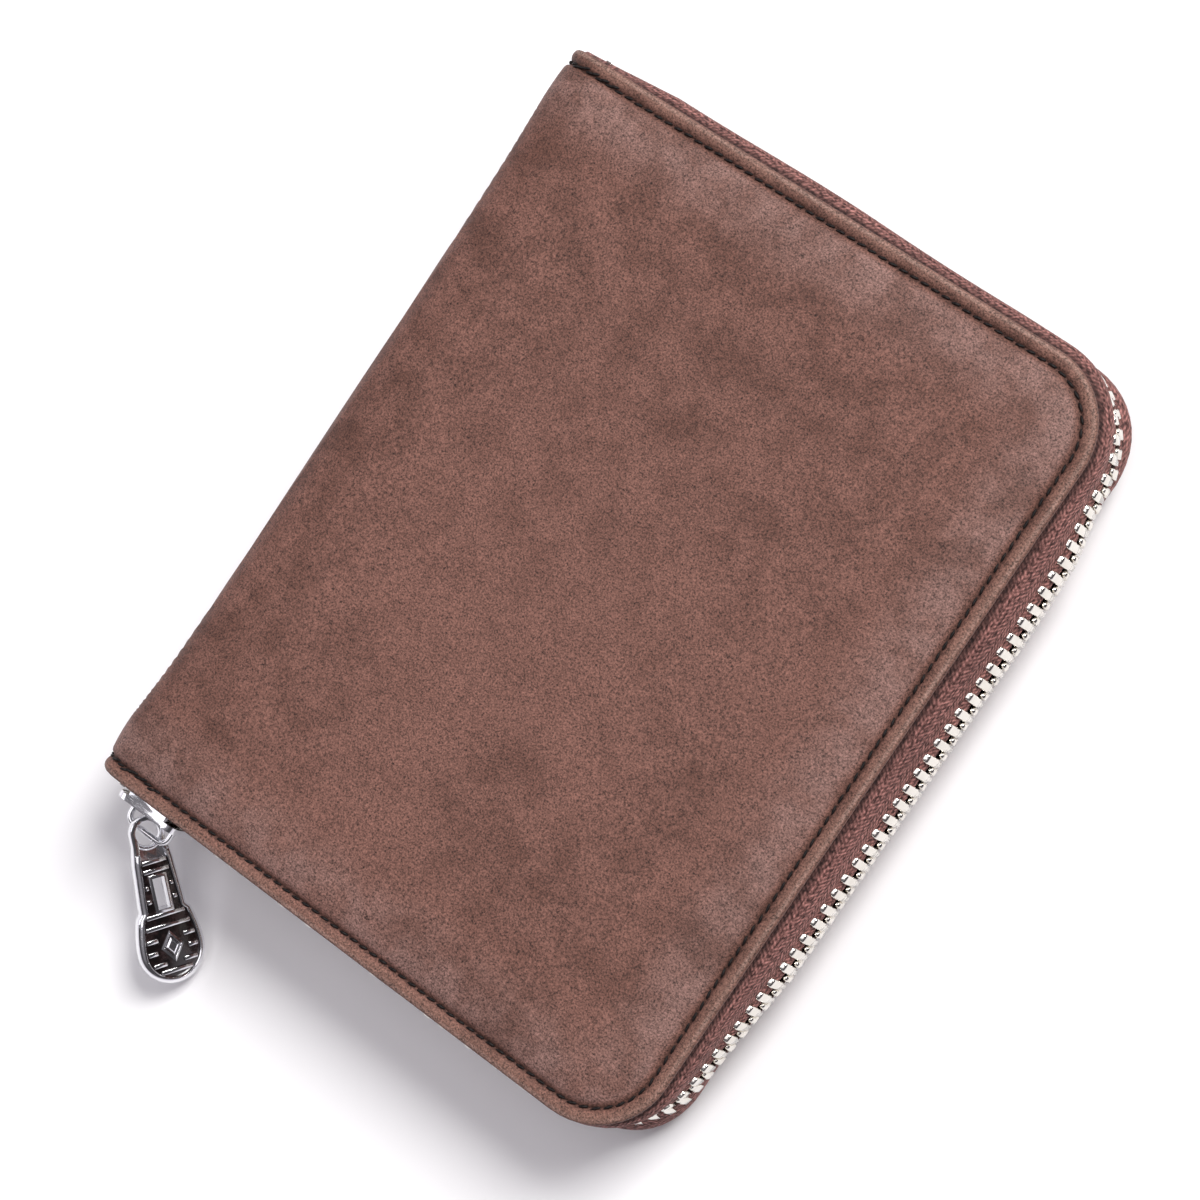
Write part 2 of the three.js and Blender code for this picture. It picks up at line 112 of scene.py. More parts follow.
def added(name, primitive, **values):
    deselectAll()
    primitive(**values)
    piece = bpy.context.object
    piece.name = name
    piece.data.name = name
    return piece


# Edit mode with everything selected.
def startEdit(piece, kind="VERT"):
    makeActive(piece)
    bpy.ops.object.mode_set(mode="EDIT")
    bpy.ops.mesh.select_mode(type=kind)
    bpy.ops.mesh.select_all(action="SELECT")


def endEdit():
    bpy.ops.object.mode_set(mode="OBJECT")


def pick(piece, kind, test):
    bpy.ops.mesh.select_mode(type=kind)
    bpy.ops.mesh.select_all(action="DESELECT")
    shape = bmesh.from_edit_mesh(piece.data)
    for part in {"VERT": shape.verts, "EDGE": shape.edges, "FACE": shape.faces}[kind]:
        if test(part):
            part.select_set(True)
    shape.select_flush_mode()
    bmesh.update_edit_mesh(piece.data)


def movePicked(piece, place):
    shape = bmesh.from_edit_mesh(piece.data)
    for corner in shape.verts:
        if corner.select:
            corner.co = place(corner.co)
    bmesh.update_edit_mesh(piece.data)


def scaleBy(value, about=(0, 0, 0)):
    bpy.ops.transform.resize(value=value, center_override=about)


# Extrudes what is selected along Z, by millimetres.
def drawOut(height):
    bpy.ops.mesh.extrude_region_move(TRANSFORM_OT_translate={"value": (0, 0, height * mm)})


def pointsOf(piece):
    points = np.zeros(len(piece.data.vertices) * 3)
    piece.data.vertices.foreach_get("co", points)
    return points.reshape(-1, 3)


def setPoints(piece, points):
    piece.data.vertices.foreach_set("co", np.asarray(points, np.float32).ravel())
    piece.data.update()


def setValue(piece, name, values):
    layer = piece.data.attributes.get(name) or piece.data.attributes.new(name, "FLOAT", "POINT")
    layer.data.foreach_set("value", np.asarray(values, np.float32))


def smooth(low, high, value):
    share = np.clip((value - low) / (high - low), 0, 1)
    return share * share * (3 - 2 * share)


def applyModifiers(piece):
    makeActive(piece)
    for name in [m.name for m in piece.modifiers]:
        bpy.ops.object.modifier_apply(modifier=name)


def smoothShade(piece, angle=40):
    makeActive(piece)
    bpy.ops.object.shade_smooth_by_angle(angle=turn(angle))


def cleanNormals(piece, gap=0.001 * mm):
    startEdit(piece)
    bpy.ops.mesh.remove_doubles(threshold=gap)
    bpy.ops.mesh.normals_make_consistent(inside=False)
    endEdit()


def copyOf(piece, name, matrix=None):
    twin = piece.copy()
    twin.data = piece.data.copy()
    twin.name = twin.data.name = name
    if matrix is not None:
        twin.data.transform(matrix)
    bpy.context.scene.collection.objects.link(twin)
    return twin


def joinPieces(name, pieces):
    deselectAll()
    for item in pieces:
        item.select_set(True)
    bpy.context.view_layer.objects.active = pieces[0]
    bpy.ops.object.join()
    pieces[0].name = pieces[0].data.name = name
    return pieces[0]


def joinedCopies(model, name, matrices):
    whole = joinPieces(name, [copyOf(model, name, matrix) for matrix in matrices])
    bpy.data.objects.remove(model)
    return whole


# Extrudes a closed section through frames. Without a section it is a round bar.
def sweep(name, frames, section=(), sides=16):
    piece = added(
        name, bpy.ops.mesh.primitive_circle_add, vertices=len(section) or sides, radius=1, fill_type="NGON",
    )
    for index, vertex in enumerate(piece.data.vertices):
        vertex.co = frames[0] @ (Vector(section[index]) if section else vertex.co)
    startEdit(piece, "FACE")
    for now, after in zip(frames, frames[1:]):
        bpy.ops.mesh.extrude_region()
        change = after @ now.inverted()
        movePicked(piece, lambda co: change @ co)
    endEdit()
    cleanNormals(piece)
    return piece


def addModifier(piece, kind, **values):
    made = piece.modifiers.new(kind.lower(), kind)
    for key, value in values.items():
        setattr(made, key, value)
    return made


def finishWith(piece, material, body=None, slot=None, replaces=()):
    piece.data.materials.clear()
    piece.data.materials.append(material)
    if body:
        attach(piece, body)
    if replaces:
        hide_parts(*replaces)
    return piece


# A copy of a CAD node with its edges rounded, to stand for it.
def softened(node, name, width, segments=2, angle=35):
    source = frame["nodes"][node]
    piece = copyOf(source, name)
    piece.parent = None
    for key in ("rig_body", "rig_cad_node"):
        del piece[key]
    startEdit(piece)
    bpy.ops.mesh.remove_doubles(threshold=0.001 * mm)
    bpy.ops.mesh.dissolve_limited(angle_limit=turn(0.5))
    bpy.ops.mesh.normals_make_consistent(inside=False)
    endEdit()
    addModifier(piece, "BEVEL", width=width, segments=segments, limit_method="ANGLE", angle_limit=turn(angle))
    applyModifiers(piece)
    smoothShade(piece, 45)
    return piece


# Distance beyond a rounded rectangle's edge, and the outward direction there.
def edgeOf(x, y, centre, halfWide, halfLong, radius):
    qx = np.abs(x - centre) - (halfWide - radius)
    qy = np.abs(y) - (halfLong - radius)
    corner = (qx > 0) & (qy > 0)
    far = np.hypot(qx, qy) + 1e-12
    beyond = np.where(corner, far, np.maximum(qx, qy)) - radius
    outX = np.where(corner, qx / far, qx >= qy) * np.sign(x - centre)
    outY = np.where(corner, qy / far, qx < qy) * np.sign(y)
    return beyond, outX, outY


straightShort = zipSide - spineSide - cornerRadius
straightLong = 2 * (halfLength - cornerRadius)
arcLength = cornerRadius * math.pi / 2
zipLength = 2 * straightShort + 2 * arcLength + straightLong


# A point and its direction on the way from the spine side along the lower short side, round the zip side and back.
def edgePoint(s, startX, inset=0.0):
    radius = cornerRadius - inset
    arc = radius * math.pi / 2
    cx, cy = zipSide - cornerRadius, halfLength - cornerRadius
    if s < cx - startX:
        return Vector((startX + s, -halfLength + inset, 0)), 0.0
    s -= cx - startX
    if s < arc:
        angle = s / radius
        return Vector((cx + radius * math.sin(angle), -cy - radius * math.cos(angle), 0)), angle
    s -= arc
    if s < straightLong:
        return Vector((zipSide - inset, -cy + s, 0)), math.pi / 2
    s -= straightLong
    if s < arc:
        angle = s / radius
        return Vector((cx + radius * math.cos(angle), cy + radius * math.sin(angle), 0)), math.pi / 2 + angle
    return Vector((cx - (s - arc), halfLength - inset, 0)), math.pi


# Local X runs along the zip, local Y points inwards and Z up.
def zipFrame(s, beyond=0.0, height=0.0):
    point, angle = edgePoint(s, spineSide)
    out = Vector((math.sin(angle), -math.cos(angle), 0))
    return Matrix.Translation(point + out * beyond + Vector((0, 0, height))) @ Matrix.Rotation(angle, 4, "Z")


def alongZip(x, y):
    cx, cy = zipSide - cornerRadius, halfLength - cornerRadius
    lower = x - spineSide
    lowerArc = straightShort + cornerRadius * np.arctan2(x - cx, np.maximum(-cy - y, 1e-9))
    side = straightShort + arcLength + (y + cy)
    farArc = straightShort + arcLength + straightLong
    upperArc = farArc + cornerRadius * np.arctan2(y - cy, np.maximum(x - cx, 1e-9))
    upper = zipLength - (x - spineSide)
    parts = [(x < cx) & (y < 0), (x < cx) & (y >= 0), y < -cy, y > cy]
    return np.select(parts, [lower, upper, lowerArc, upperArc], side)


# How far the chain bows out between the covers, and the tape's belly over it, along the zip.
chainBow = {
    "at": [0, 24, 40, 56, 66, 75, 81, 87, 94, 102, 120, 150, 175, 186, 193, 200, 207, 222, 250, 280, 290, 297],
    "out": [
        0, 0, 0, 0.05, 0.1, 0.0, -1.0, -1.9, -1.3, 0.5, 2.8, 3.3, 3.6, 3.4, 1.7, 0.7, 0.3, 0.7, 1.0, 0.85, 0.0, -0.7,
    ],
    "belly": [
        0, 0, 0.1, 0.1, 0.1, 0.1, 0.1, 0.1, 0.3, 0.35, 0.3, 0.3, 0.3, 0.3, 0.4, 0.5, 0.7, 1.0, 1.15, 1.1, 0.35, 0,
    ],
    "flange": 7.4,  # height over the zip's middle where the tape is held by the cover
}


def bowAt(s, which="out"):
    return np.interp(np.asarray(s) / mm, chainBow["at"], chainBow[which]) * mm


# A colour as it shows on screen, made linear.
def tone(*shades):
    return tuple(((c / 255 + 0.055) / 1.055) ** 2.4 if c > 10 else c / 255 / 12.92 for c in shades) + (1,)


def node(tree, kind, settings=None, inputs=None):
    made = tree.nodes.new("ShaderNode" + kind)
    for key, value in (settings or {}).items():
        setattr(made, key, value)
    for key, value in (inputs or {}).items():
        if isinstance(value, bpy.types.NodeSocket):
            tree.links.new(value, made.inputs[key])
        else:
            made.inputs[key].default_value = value
    return made


def calc(tree, operation, first, second=0.0, third=0.0):
    inputs = {0: first, 1: second}
    if operation == "MULTIPLY_ADD":
        inputs[2] = third
    return node(tree, "Math", {"operation": operation}, inputs).outputs[0]


def remap(tree, value, fromLow, fromHigh, toLow=0.0, toHigh=1.0, kind="SMOOTHSTEP"):
    return node(
        tree, "MapRange", {"interpolation_type": kind, "clamp": kind == "LINEAR"},
        {"Value": value, 1: fromLow, 2: fromHigh, 3: toLow, 4: toHigh},
    ).outputs[0]


def mixColor(tree, factor, first, second):
    return node(tree, "Mix", {"data_type": "RGBA"}, {0: factor, 6: first, 7: second}).outputs[2]


def newGroup(name, inputs, outputs):
    tree = bpy.data.node_groups.new(name, "ShaderNodeTree")
    for label, kind, value in inputs:
        socket = tree.interface.new_socket(name=label, in_out="INPUT", socket_type="NodeSocket" + kind)
        if value is not None:
            socket.default_value = value
    for label, kind in outputs:
        tree.interface.new_socket(name=label, in_out="OUTPUT", socket_type="NodeSocket" + kind)
    return tree, tree.nodes.new("NodeGroupInput"), tree.nodes.new("NodeGroupOutput")


def useGroup(tree, group, inputs):
    return node(tree, "Group", {"node_tree": group}, inputs)


def newMaterial(name, values):
    made = bpy.data.materials.new(name)
    made.use_nodes = True
    tree = made.node_tree
    tree.nodes.clear()
    output = tree.nodes.new("ShaderNodeOutputMaterial")
    shader = node(tree, "BsdfPrincipled", None, values)
    tree.links.new(shader.outputs[0], output.inputs[0])
    return made, tree, shader


def objectPlace(tree):
    return node(tree, "TexCoord").outputs["Object"]


def addBump(tree, shader, strength, distance, height, invert=False):
    made = node(tree, "Bump", {"invert": invert}, {"Strength": strength, "Distance": distance, "Height": height})
    tree.links.new(made.outputs[0], shader.inputs["Normal"])


# Soft cloudy patches, from 0 to 1.
def makeBlotches():
    tree, given, result = newGroup(
        "softBlotches",
        [("Vector", "Vector", None), ("Size", "Float", 0.02), ("Low", "Float", 0.4), ("High", "Float", 0.65)],
        [("Mask", "Float")],
    )
    scale = calc(tree, "DIVIDE", 1.0, given.outputs["Size"])
    cloud = node(tree, "TexNoise", None, {
        "Vector": given.outputs["Vector"], "Scale": scale, "Detail": 4.0, "Roughness": 0.55, "Distortion": 0.2,
    }).outputs[0]
    mask = remap(tree, cloud, given.outputs["Low"], given.outputs["High"])
    tree.links.new(mask, result.inputs["Mask"])
    return tree


# The fine salt and pepper nap of brushed leather, with its pores.
def makeNap():
    tree, given, result = newGroup(
        "brushedNap", [("Vector", "Vector", None), ("Size", "Float", 0.0005)],
        [("Tone", "Float"), ("Height", "Float")],
    )
    scale = calc(tree, "DIVIDE", 1.0, given.outputs["Size"])
    fine = node(tree, "TexNoise", None, {
        "Vector": given.outputs["Vector"], "Scale": scale, "Detail": 3.0, "Roughness": 0.7,
    }).outputs[0]
    coarse = node(tree, "TexNoise", None, {
        "Vector": given.outputs["Vector"], "Scale": calc(tree, "MULTIPLY", scale, 0.27),
        "Detail": 4.0, "Roughness": 0.65,
    }).outputs[0]
    pores = node(tree, "TexVoronoi", None, {
        "Vector": given.outputs["Vector"], "Scale": calc(tree, "MULTIPLY", scale, 0.8),
    })
    both = calc(tree, "ADD", calc(tree, "MULTIPLY", fine, 0.8), calc(tree, "MULTIPLY", coarse, 0.2))
    tree.links.new(remap(tree, both, 0.32, 0.68, 0.0, 1.0, "LINEAR"), result.inputs["Tone"])
    pits = remap(tree, pores.outputs[0], 0.0, 0.45)
    tree.links.new(calc(tree, "ADD", both, calc(tree, "MULTIPLY", pits, 0.35)), result.inputs["Height"])
    return tree


# A herringbone twill in U along the tape and V across it.
def makeTwill():
    tree, given, result = newGroup(
        "zipTwill",
        [("Vector", "Vector", None), ("Yarn", "Float", 0.0006), ("Stripe", "Float", 0.0022)],
        [("Tone", "Float"), ("Height", "Float")],
    )
    parts = node(tree, "SeparateXYZ", None, {0: given.outputs["Vector"]})
    u, v = parts.outputs[0], parts.outputs[1]
    wobble = node(tree, "TexNoise", None, {
        "Vector": given.outputs["Vector"], "Scale": 900.0, "Detail": 2.0,
    }).outputs[0]
    folded = calc(tree, "PINGPONG", v, given.outputs["Stripe"])
    slanted = calc(tree, "ADD", u, calc(tree, "MULTIPLY", folded, 1.1))
    slanted = calc(tree, "ADD", slanted, calc(tree, "MULTIPLY", wobble, 0.00035))
    phase = calc(tree, "MULTIPLY", calc(tree, "DIVIDE", slanted, given.outputs["Yarn"]), 2 * math.pi)
    ribs = calc(tree, "MULTIPLY_ADD", calc(tree, "SINE", phase), 0.5, 0.5)
    pickSize = calc(tree, "MULTIPLY", given.outputs["Yarn"], 0.62)
    across = calc(tree, "MULTIPLY", calc(tree, "DIVIDE", v, pickSize), 2 * math.pi)
    picks = calc(tree, "MULTIPLY_ADD", calc(tree, "SINE", across), 0.5, 0.5)
    height = calc(tree, "MULTIPLY_ADD", picks, 0.35, calc(tree, "MULTIPLY", ribs, 0.65))
    streak = node(tree, "TexNoise", None, {
        "Vector": node(tree, "Mapping", None, {0: given.outputs["Vector"], 3: (1.0, 2.2, 1.0)}).outputs[0],
        "Scale": 1300.0, "Detail": 2.0, "Roughness": 0.6,
    }).outputs[0]
    spread = calc(tree, "MULTIPLY", remap(tree, streak, 0.3, 0.7), calc(tree, "MULTIPLY_ADD", height, 0.75, 0.25))
    tree.links.new(spread, result.inputs["Tone"])
    tree.links.new(height, result.inputs["Height"])
    return tree


# Hair scratches and smudges on plated metal.
def makeMetalWear():
    tree, given, result = newGroup(
        "metalWear", [("Vector", "Vector", None), ("Scratches", "Float", 0.5)],
        [("Roughness", "Float"), ("Height", "Float")],
    )
    smudge = node(tree, "TexNoise", None, {
        "Vector": given.outputs["Vector"], "Scale": 420.0, "Detail": 3.0,
    }).outputs[0]
    drawn = node(tree, "Mapping", None, {0: given.outputs["Vector"], 2: (0.3, 0.5, 0.8), 3: (1.0, 14.0, 1.0)})
    hairs = node(tree, "TexNoise", None, {"Vector": drawn.outputs[0], "Scale": 900.0, "Detail": 2.0}).outputs[0]
    fineHairs = remap(tree, hairs, 0.58, 0.72)
    rough = calc(tree, "MULTIPLY_ADD", remap(tree, smudge, 0.4, 0.75), 0.12, 0.07)
    scuffs = calc(tree, "MULTIPLY", fineHairs, given.outputs["Scratches"])
    rough = calc(tree, "ADD", rough, calc(tree, "MULTIPLY", scuffs, 0.16))
    tree.links.new(rough, result.inputs["Roughness"])
    tree.links.new(calc(tree, "MULTIPLY", fineHairs, -1.0), result.inputs["Height"])
    return tree


# A few short fine scratches, each in its own direction.
def makeScratches():
    tree, given, result = newGroup(
        "fineScratches", [("Vector", "Vector", None), ("Length", "Float", 0.006)], [("Mask", "Float")],
    )
    scale = calc(tree, "DIVIDE", 1.0, given.outputs["Length"])
    marks = []
    for turned, place in ((0.5, (0.031, 0.017, 0.0)), (1.9, (0.052, 0.043, 0.0)), (2.6, (0.013, 0.071, 0.0))):
        laid = node(tree, "Mapping", None, {
            0: given.outputs["Vector"], 1: place, 2: (0.0, 0.0, turned), 3: (1.0, 16.0, 1.0),
        }).outputs[0]
        streak = node(tree, "TexNoise", None, {
            "Vector": laid, "Scale": scale, "Detail": 1.0, "Roughness": 0.4,
        }).outputs[0]
        marks.append(remap(tree, streak, 0.79, 0.83))
    strongest = calc(tree, "MAXIMUM", calc(tree, "MAXIMUM", marks[0], marks[1]), marks[2])
    tree.links.new(strongest, result.inputs["Mask"])
    return tree


blotches, nap, twill = makeBlotches(), makeNap(), makeTwill()
metalWear, fineScratches = makeMetalWear(), makeScratches()


def cloudy(tree, place, size, low, high):
    return useGroup(tree, blotches, {"Vector": place, "Size": size, "Low": low, "High": high}).outputs[0]


leatherLook = {
    "base": tone(120, 84, 74), "dark": tone(84, 55, 46), "paleAndSheen": tone(139, 112, 106), "rim": tone(122, 90, 79),
    "wearAndHighlight": tone(158, 132, 121), "scratchAndGrooveShade": tone(34, 20, 17), "clouds": 0.6, "mottle": 0.26, "grain": 1.0,
    "cloudSize": 0.03, "mottleSize": 0.0055, "napSize": 0.00027,
    "spineShade": 0.75, "endShade": 0.55,  # how dark the leather gets over the spine and towards the far end
}


def coverLeather():
    look = leatherLook
    made, tree, shader = newMaterial("brushedBrownLeather", {
        "Roughness": 0.74, "Specular IOR Level": 0.28, "Sheen Weight": 0.1, "Sheen Roughness": 0.5,
        "Sheen Tint": tone(190, 172, 172),
    })
    place = objectPlace(tree)
    # millimetres in from the cover's edge, and past the start of the roll over the spine
    fromEdge = node(tree, "Attribute", {"attribute_name": "fromEdge"}).outputs["Fac"]
    overSpine = node(tree, "Attribute", {"attribute_name": "overSpine"}).outputs["Fac"]
    large = cloudy(tree, place, look["cloudSize"], 0.40, 0.66)
    small = cloudy(tree, place, look["mottleSize"], 0.34, 0.68)
    fibre = useGroup(tree, nap, {"Vector": place, "Size": look["napSize"]})
    # darker clouds, with painted shade towards and over the roll at the spine, and darker towards the far end
    clouds = calc(tree, "MULTIPLY", large, look["clouds"])
    clouds = calc(tree, "MAXIMUM", clouds, remap(tree, overSpine, -18.0, 1.0, 0.0, look["spineShade"]))
    endwise = node(tree, "SeparateXYZ", None, {0: place}).outputs[1]
    clouds = calc(tree, "MAXIMUM", clouds, remap(tree, endwise, -0.045, 0.05, 0.0, look["endShade"]))
    clouds = calc(tree, "MULTIPLY", clouds, calc(tree, "MULTIPLY_ADD", small, 0.7, 0.3))
    clouds = calc(tree, "MULTIPLY_ADD", small, look["mottle"] * 0.5, clouds)
    color = mixColor(tree, clouds, look["base"], look["dark"])

    # one tone between two distances from the edge, uneven with the small patches
    def edgeBand(color, risesFrom, risesTo, fallsFrom, fallsTo, uneven, strength, shade):
        band = remap(tree, fromEdge, risesFrom, risesTo)
        if fallsTo:
            band = calc(tree, "MULTIPLY", band, remap(tree, fromEdge, fallsFrom, fallsTo, 1.0, 0.0))
        share = calc(tree, "MULTIPLY", band, calc(tree, "MULTIPLY_ADD", small, uneven, strength))
        return mixColor(tree, share, color, look[shade])

    # paler on the slope down to the seam, partly stretched leather and partly painted sheen; the rim's own tone; a
    # painted highlight with some wear along the rim's edge; and painted shade sunk in the seam's groove
    color = edgeBand(color, 2.5, 3.4, 4.4, 14.0, -0.35, 0.5, "paleAndSheen")
    color = edgeBand(color, 1.9, 1.2, 0, 0, -0.5, 0.8, "rim")
    # painted highlight, with some wear, along the rim's outer edge
    color = edgeBand(color, 0.12, 0.4, 0.5, 1.0, 0.25, 0.22, "wearAndHighlight")
    # painted shade in the seam's groove
    color = edgeBand(color, 1.75, 2.1, 2.35, 2.75, 0.0, 0.5, "scratchAndGrooveShade")
    # painted shade along the rim's outermost edge, where it turns under
    color = mixColor(tree, remap(tree, fromEdge, 0.3, 0.02, 0.0, 0.55), color, look["dark"])
    scratches = useGroup(tree, fineScratches, {"Vector": place}).outputs[0]
    color = mixColor(tree, calc(tree, "MULTIPLY", scratches, 0.55), color, look["scratchAndGrooveShade"])
    grain = look["grain"]
    light = remap(tree, fibre.outputs["Tone"], 0.0, 1.0, 1.0 - grain, 1.0 + grain, "LINEAR")
    speckled = node(tree, "HueSaturation", None, {"Value": light, "Color": color}).outputs[0]
    tree.links.new(speckled, shader.inputs["Base Color"])
    rough = calc(tree, "MULTIPLY_ADD", fibre.outputs["Tone"], 0.12, 0.62)
    tree.links.new(rough, shader.inputs["Roughness"])
    addBump(tree, shader, 0.45, 0.00012, fibre.outputs["Height"])
    return made


# The tones and scales of the other finishes, in metres or waves to the metre.
finishes = {
    "thread": {"dark": tone(11, 8, 8), "light": tone(30, 23, 22), "strands": 700.0},
    "tape": {
        "dark": tone(50, 26, 24), "light": tone(192, 134, 126), "dull": tone(56, 32, 30), "shade": tone(22, 11, 10),
        "yarn": 0.00072, "stripe": 0.0016, "shadeFrom": 0.0051, "shadeTo": 0.0058, "rimShadow": 0.7,
    },
    "nickel": {"color": (0.80, 0.77, 0.71, 1), "shade": (0.62, 0.58, 0.52, 1), "scratches": 0.4},
    "chrome": {"color": (0.86, 0.86, 0.88, 1), "shade": (0.74, 0.75, 0.78, 1), "scratches": 0.35},
    "enamel": {"dark": tone(14, 8, 8), "light": tone(40, 24, 24), "clouds": 0.0016},
    "lining": {
        "light": tone(112, 78, 64), "dark": tone(84, 56, 46), "grain": tone(48, 30, 25), "clouds": 0.018,
        "pebbles": 900.0,
    },
    "cloth": {
        "dark": tone(70, 50, 43), "light": tone(112, 84, 72), "dull": tone(50, 34, 30), "clouds": 0.015,
        "threads": 520.0,
    },
}


def threadLook():
    look = finishes["thread"]
    made, tree, shader = newMaterial("waxedBlackThread", {"Roughness": 0.62, "Specular IOR Level": 0.3})
    strand = node(tree, "TexWave", {"wave_type": "BANDS", "bands_direction": "DIAGONAL"}, {
        "Vector": objectPlace(tree), "Scale": look["strands"], "Distortion": 1.5,
    }).outputs["Fac"]
    tree.links.new(mixColor(tree, strand, look["dark"], look["light"]), shader.inputs["Base Color"])
    addBump(tree, shader, 0.5, 0.00006, strand)
    return made


def tapeLook():
    look = finishes["tape"]
    made, tree, shader = newMaterial("brownZipTape", {
        "Roughness": 0.78, "Specular IOR Level": 0.3, "Sheen Weight": 0.25, "Sheen Roughness": 0.35,
        "Sheen Tint": tone(190, 150, 145),
    })
    place = node(tree, "UVMap", {"uv_map": "tapeUV"}).outputs[0]
    weave = useGroup(tree, twill, {"Vector": place, "Yarn": look["yarn"], "Stripe": look["stripe"]})
    color = mixColor(tree, weave.outputs["Tone"], look["dark"], look["light"])
    dull = cloudy(tree, objectPlace(tree), 0.009, 0.4, 0.7)
    color = mixColor(tree, calc(tree, "MULTIPLY", dull, 0.25), color, look["dull"])
    # painted shadow on the tape where it runs in under the cover's rim
    across = node(tree, "SeparateXYZ", None, {0: place}).outputs[1]
    under = remap(tree, across, look["shadeFrom"], look["shadeTo"], 0.0, look["rimShadow"])
    tree.links.new(mixColor(tree, under, color, look["shade"]), shader.inputs["Base Color"])
    addBump(tree, shader, 0.9, 0.00014, weave.outputs["Height"])
    return made


def metalLook(name, look):
    made, tree, shader = newMaterial(name, {"Metallic": 1.0})
    place = objectPlace(tree)
    wear = useGroup(tree, metalWear, {"Vector": place, "Scratches": look["scratches"]})
    tint = calc(tree, "MULTIPLY", cloudy(tree, place, 0.004, 0.35, 0.75), 0.5)
    tree.links.new(mixColor(tree, tint, look["color"], look["shade"]), shader.inputs["Base Color"])
    tree.links.new(wear.outputs["Roughness"], shader.inputs["Roughness"])
    addBump(tree, shader, 0.15, 0.00003, wear.outputs["Height"])
    return made


def enamelLook():
    look = finishes["enamel"]
    made, tree, shader = newMaterial("blackEnamel", {"Roughness": 0.22, "Coat Weight": 0.6, "Coat Roughness": 0.08})
    cloud = cloudy(tree, objectPlace(tree), look["clouds"], 0.4, 0.7)
    tree.links.new(mixColor(tree, cloud, look["dark"], look["light"]), shader.inputs["Base Color"])
    tree.links.new(calc(tree, "MULTIPLY_ADD", cloud, 0.18, 0.16), shader.inputs["Roughness"])
    addBump(tree, shader, 0.3, 0.00005, cloud)
    return made


def liningLook():
    look = finishes["lining"]
    made, tree, shader = newMaterial("smoothLiningLeather", {"Roughness": 0.5, "Specular IOR Level": 0.45})
    place = objectPlace(tree)
    pebble = node(tree, "TexVoronoi", {"feature": "SMOOTH_F1"}, {
        "Vector": place, "Scale": look["pebbles"], "Smoothness": 0.6,
    })
    grain = remap(tree, pebble.outputs[0], 0.1, 0.7)
    color = mixColor(tree, cloudy(tree, place, look["clouds"], 0.35, 0.7), look["light"], look["dark"])
    color = mixColor(tree, calc(tree, "MULTIPLY", grain, 0.35), color, look["grain"])
    tree.links.new(color, shader.inputs["Base Color"])
    tree.links.new(calc(tree, "MULTIPLY_ADD", grain, 0.2, 0.42), shader.inputs["Roughness"])
    addBump(tree, shader, 0.4, 0.0001, grain, invert=True)
    return made


def fabricLook():
    look = finishes["cloth"]
    made, tree, shader = newMaterial("pocketCloth", {
        "Roughness": 0.7, "Specular IOR Level": 0.35, "Sheen Weight": 0.3, "Sheen Roughness": 0.4,
    })
    place = objectPlace(tree)
    wave = {"Vector": place, "Scale": look["threads"], "Distortion": 0.4, "Detail": 1.0, "Detail Scale": 3.0}
    warp, weft = [
        node(tree, "TexWave", {"wave_type": "BANDS", "bands_direction": way}, wave).outputs["Fac"] for way in "XY"
    ]
    cross = calc(tree, "MULTIPLY", warp, weft)
    color = mixColor(tree, cross, look["dark"], look["light"])
    cloud = cloudy(tree, place, look["clouds"], 0.35, 0.7)
    color = mixColor(tree, calc(tree, "MULTIPLY", cloud, 0.3), color, look["dull"])
    tree.links.new(color, shader.inputs["Base Color"])
    addBump(tree, shader, 0.6, 0.00008, cross)
    return made


hide = coverLeather()
thread = threadLook()
tapeCloth = tapeLook()
nickel = metalLook("paleNickel", finishes["nickel"])
chrome = metalLook("chromePlate", finishes["chrome"])
enamel = enamelLook()
lining = liningLook()
pocketCloth = fabricLook()
print("materials made")


# Covers and spine are one piece of hide, cut to shape flat and then wrapped round the spine.
hideShape = {
    "rollStart": 4.5 * mm,  # from the spine's edge to where the cover begins to roll over
    "rollDepth": 5.8 * mm,
    "rollPower": 2.6,
    # ring by ring from the turned-in edge over the rim and the seam to the pad: beyond the edge, height over the rim
    "rings": [
        (-7.0, -1.5), (-0.7, -1.5), (-0.3, -1.38), (-0.08, -1.1), (0.0, -0.8), (-0.04, -0.5), (-0.16, -0.28),
        (-0.38, -0.11), (-0.7, -0.01), (-1.05, 0.02), (-1.4, -0.06), (-1.7, -0.22), (-1.95, -0.42), (-2.2, -0.6),
        (-2.44, -0.46), (-2.72, -0.12), (-3.1, 0.2), (-3.7, 0.5), (-4.6, 0.78), (-5.8, 1.0), (-7.0, 1.12), (-8.2, 1.18),
    ],
    "swell": 0.42 * mm,  # how much the padding may lift the hide
    # how the hide over the spine sinks between its stiff ends
    "pullAt": [-60, -58, -54, -50, -44, -30, 30, 42, 50, 54, 58, 60],
    "pull": [0, 0.15, 0.6, 0.3, -0.2, -0.55, -0.55, -0.4, -0.05, 0.12, 0, 0],
    "cornerCuts": 12,
    "sideCuts": ((0.1, 49), (0.05, 63)),  # how finely the edges longer than this are cut
    "gridSpan": 112,  # edges along the long side of the grids inside the rings
}
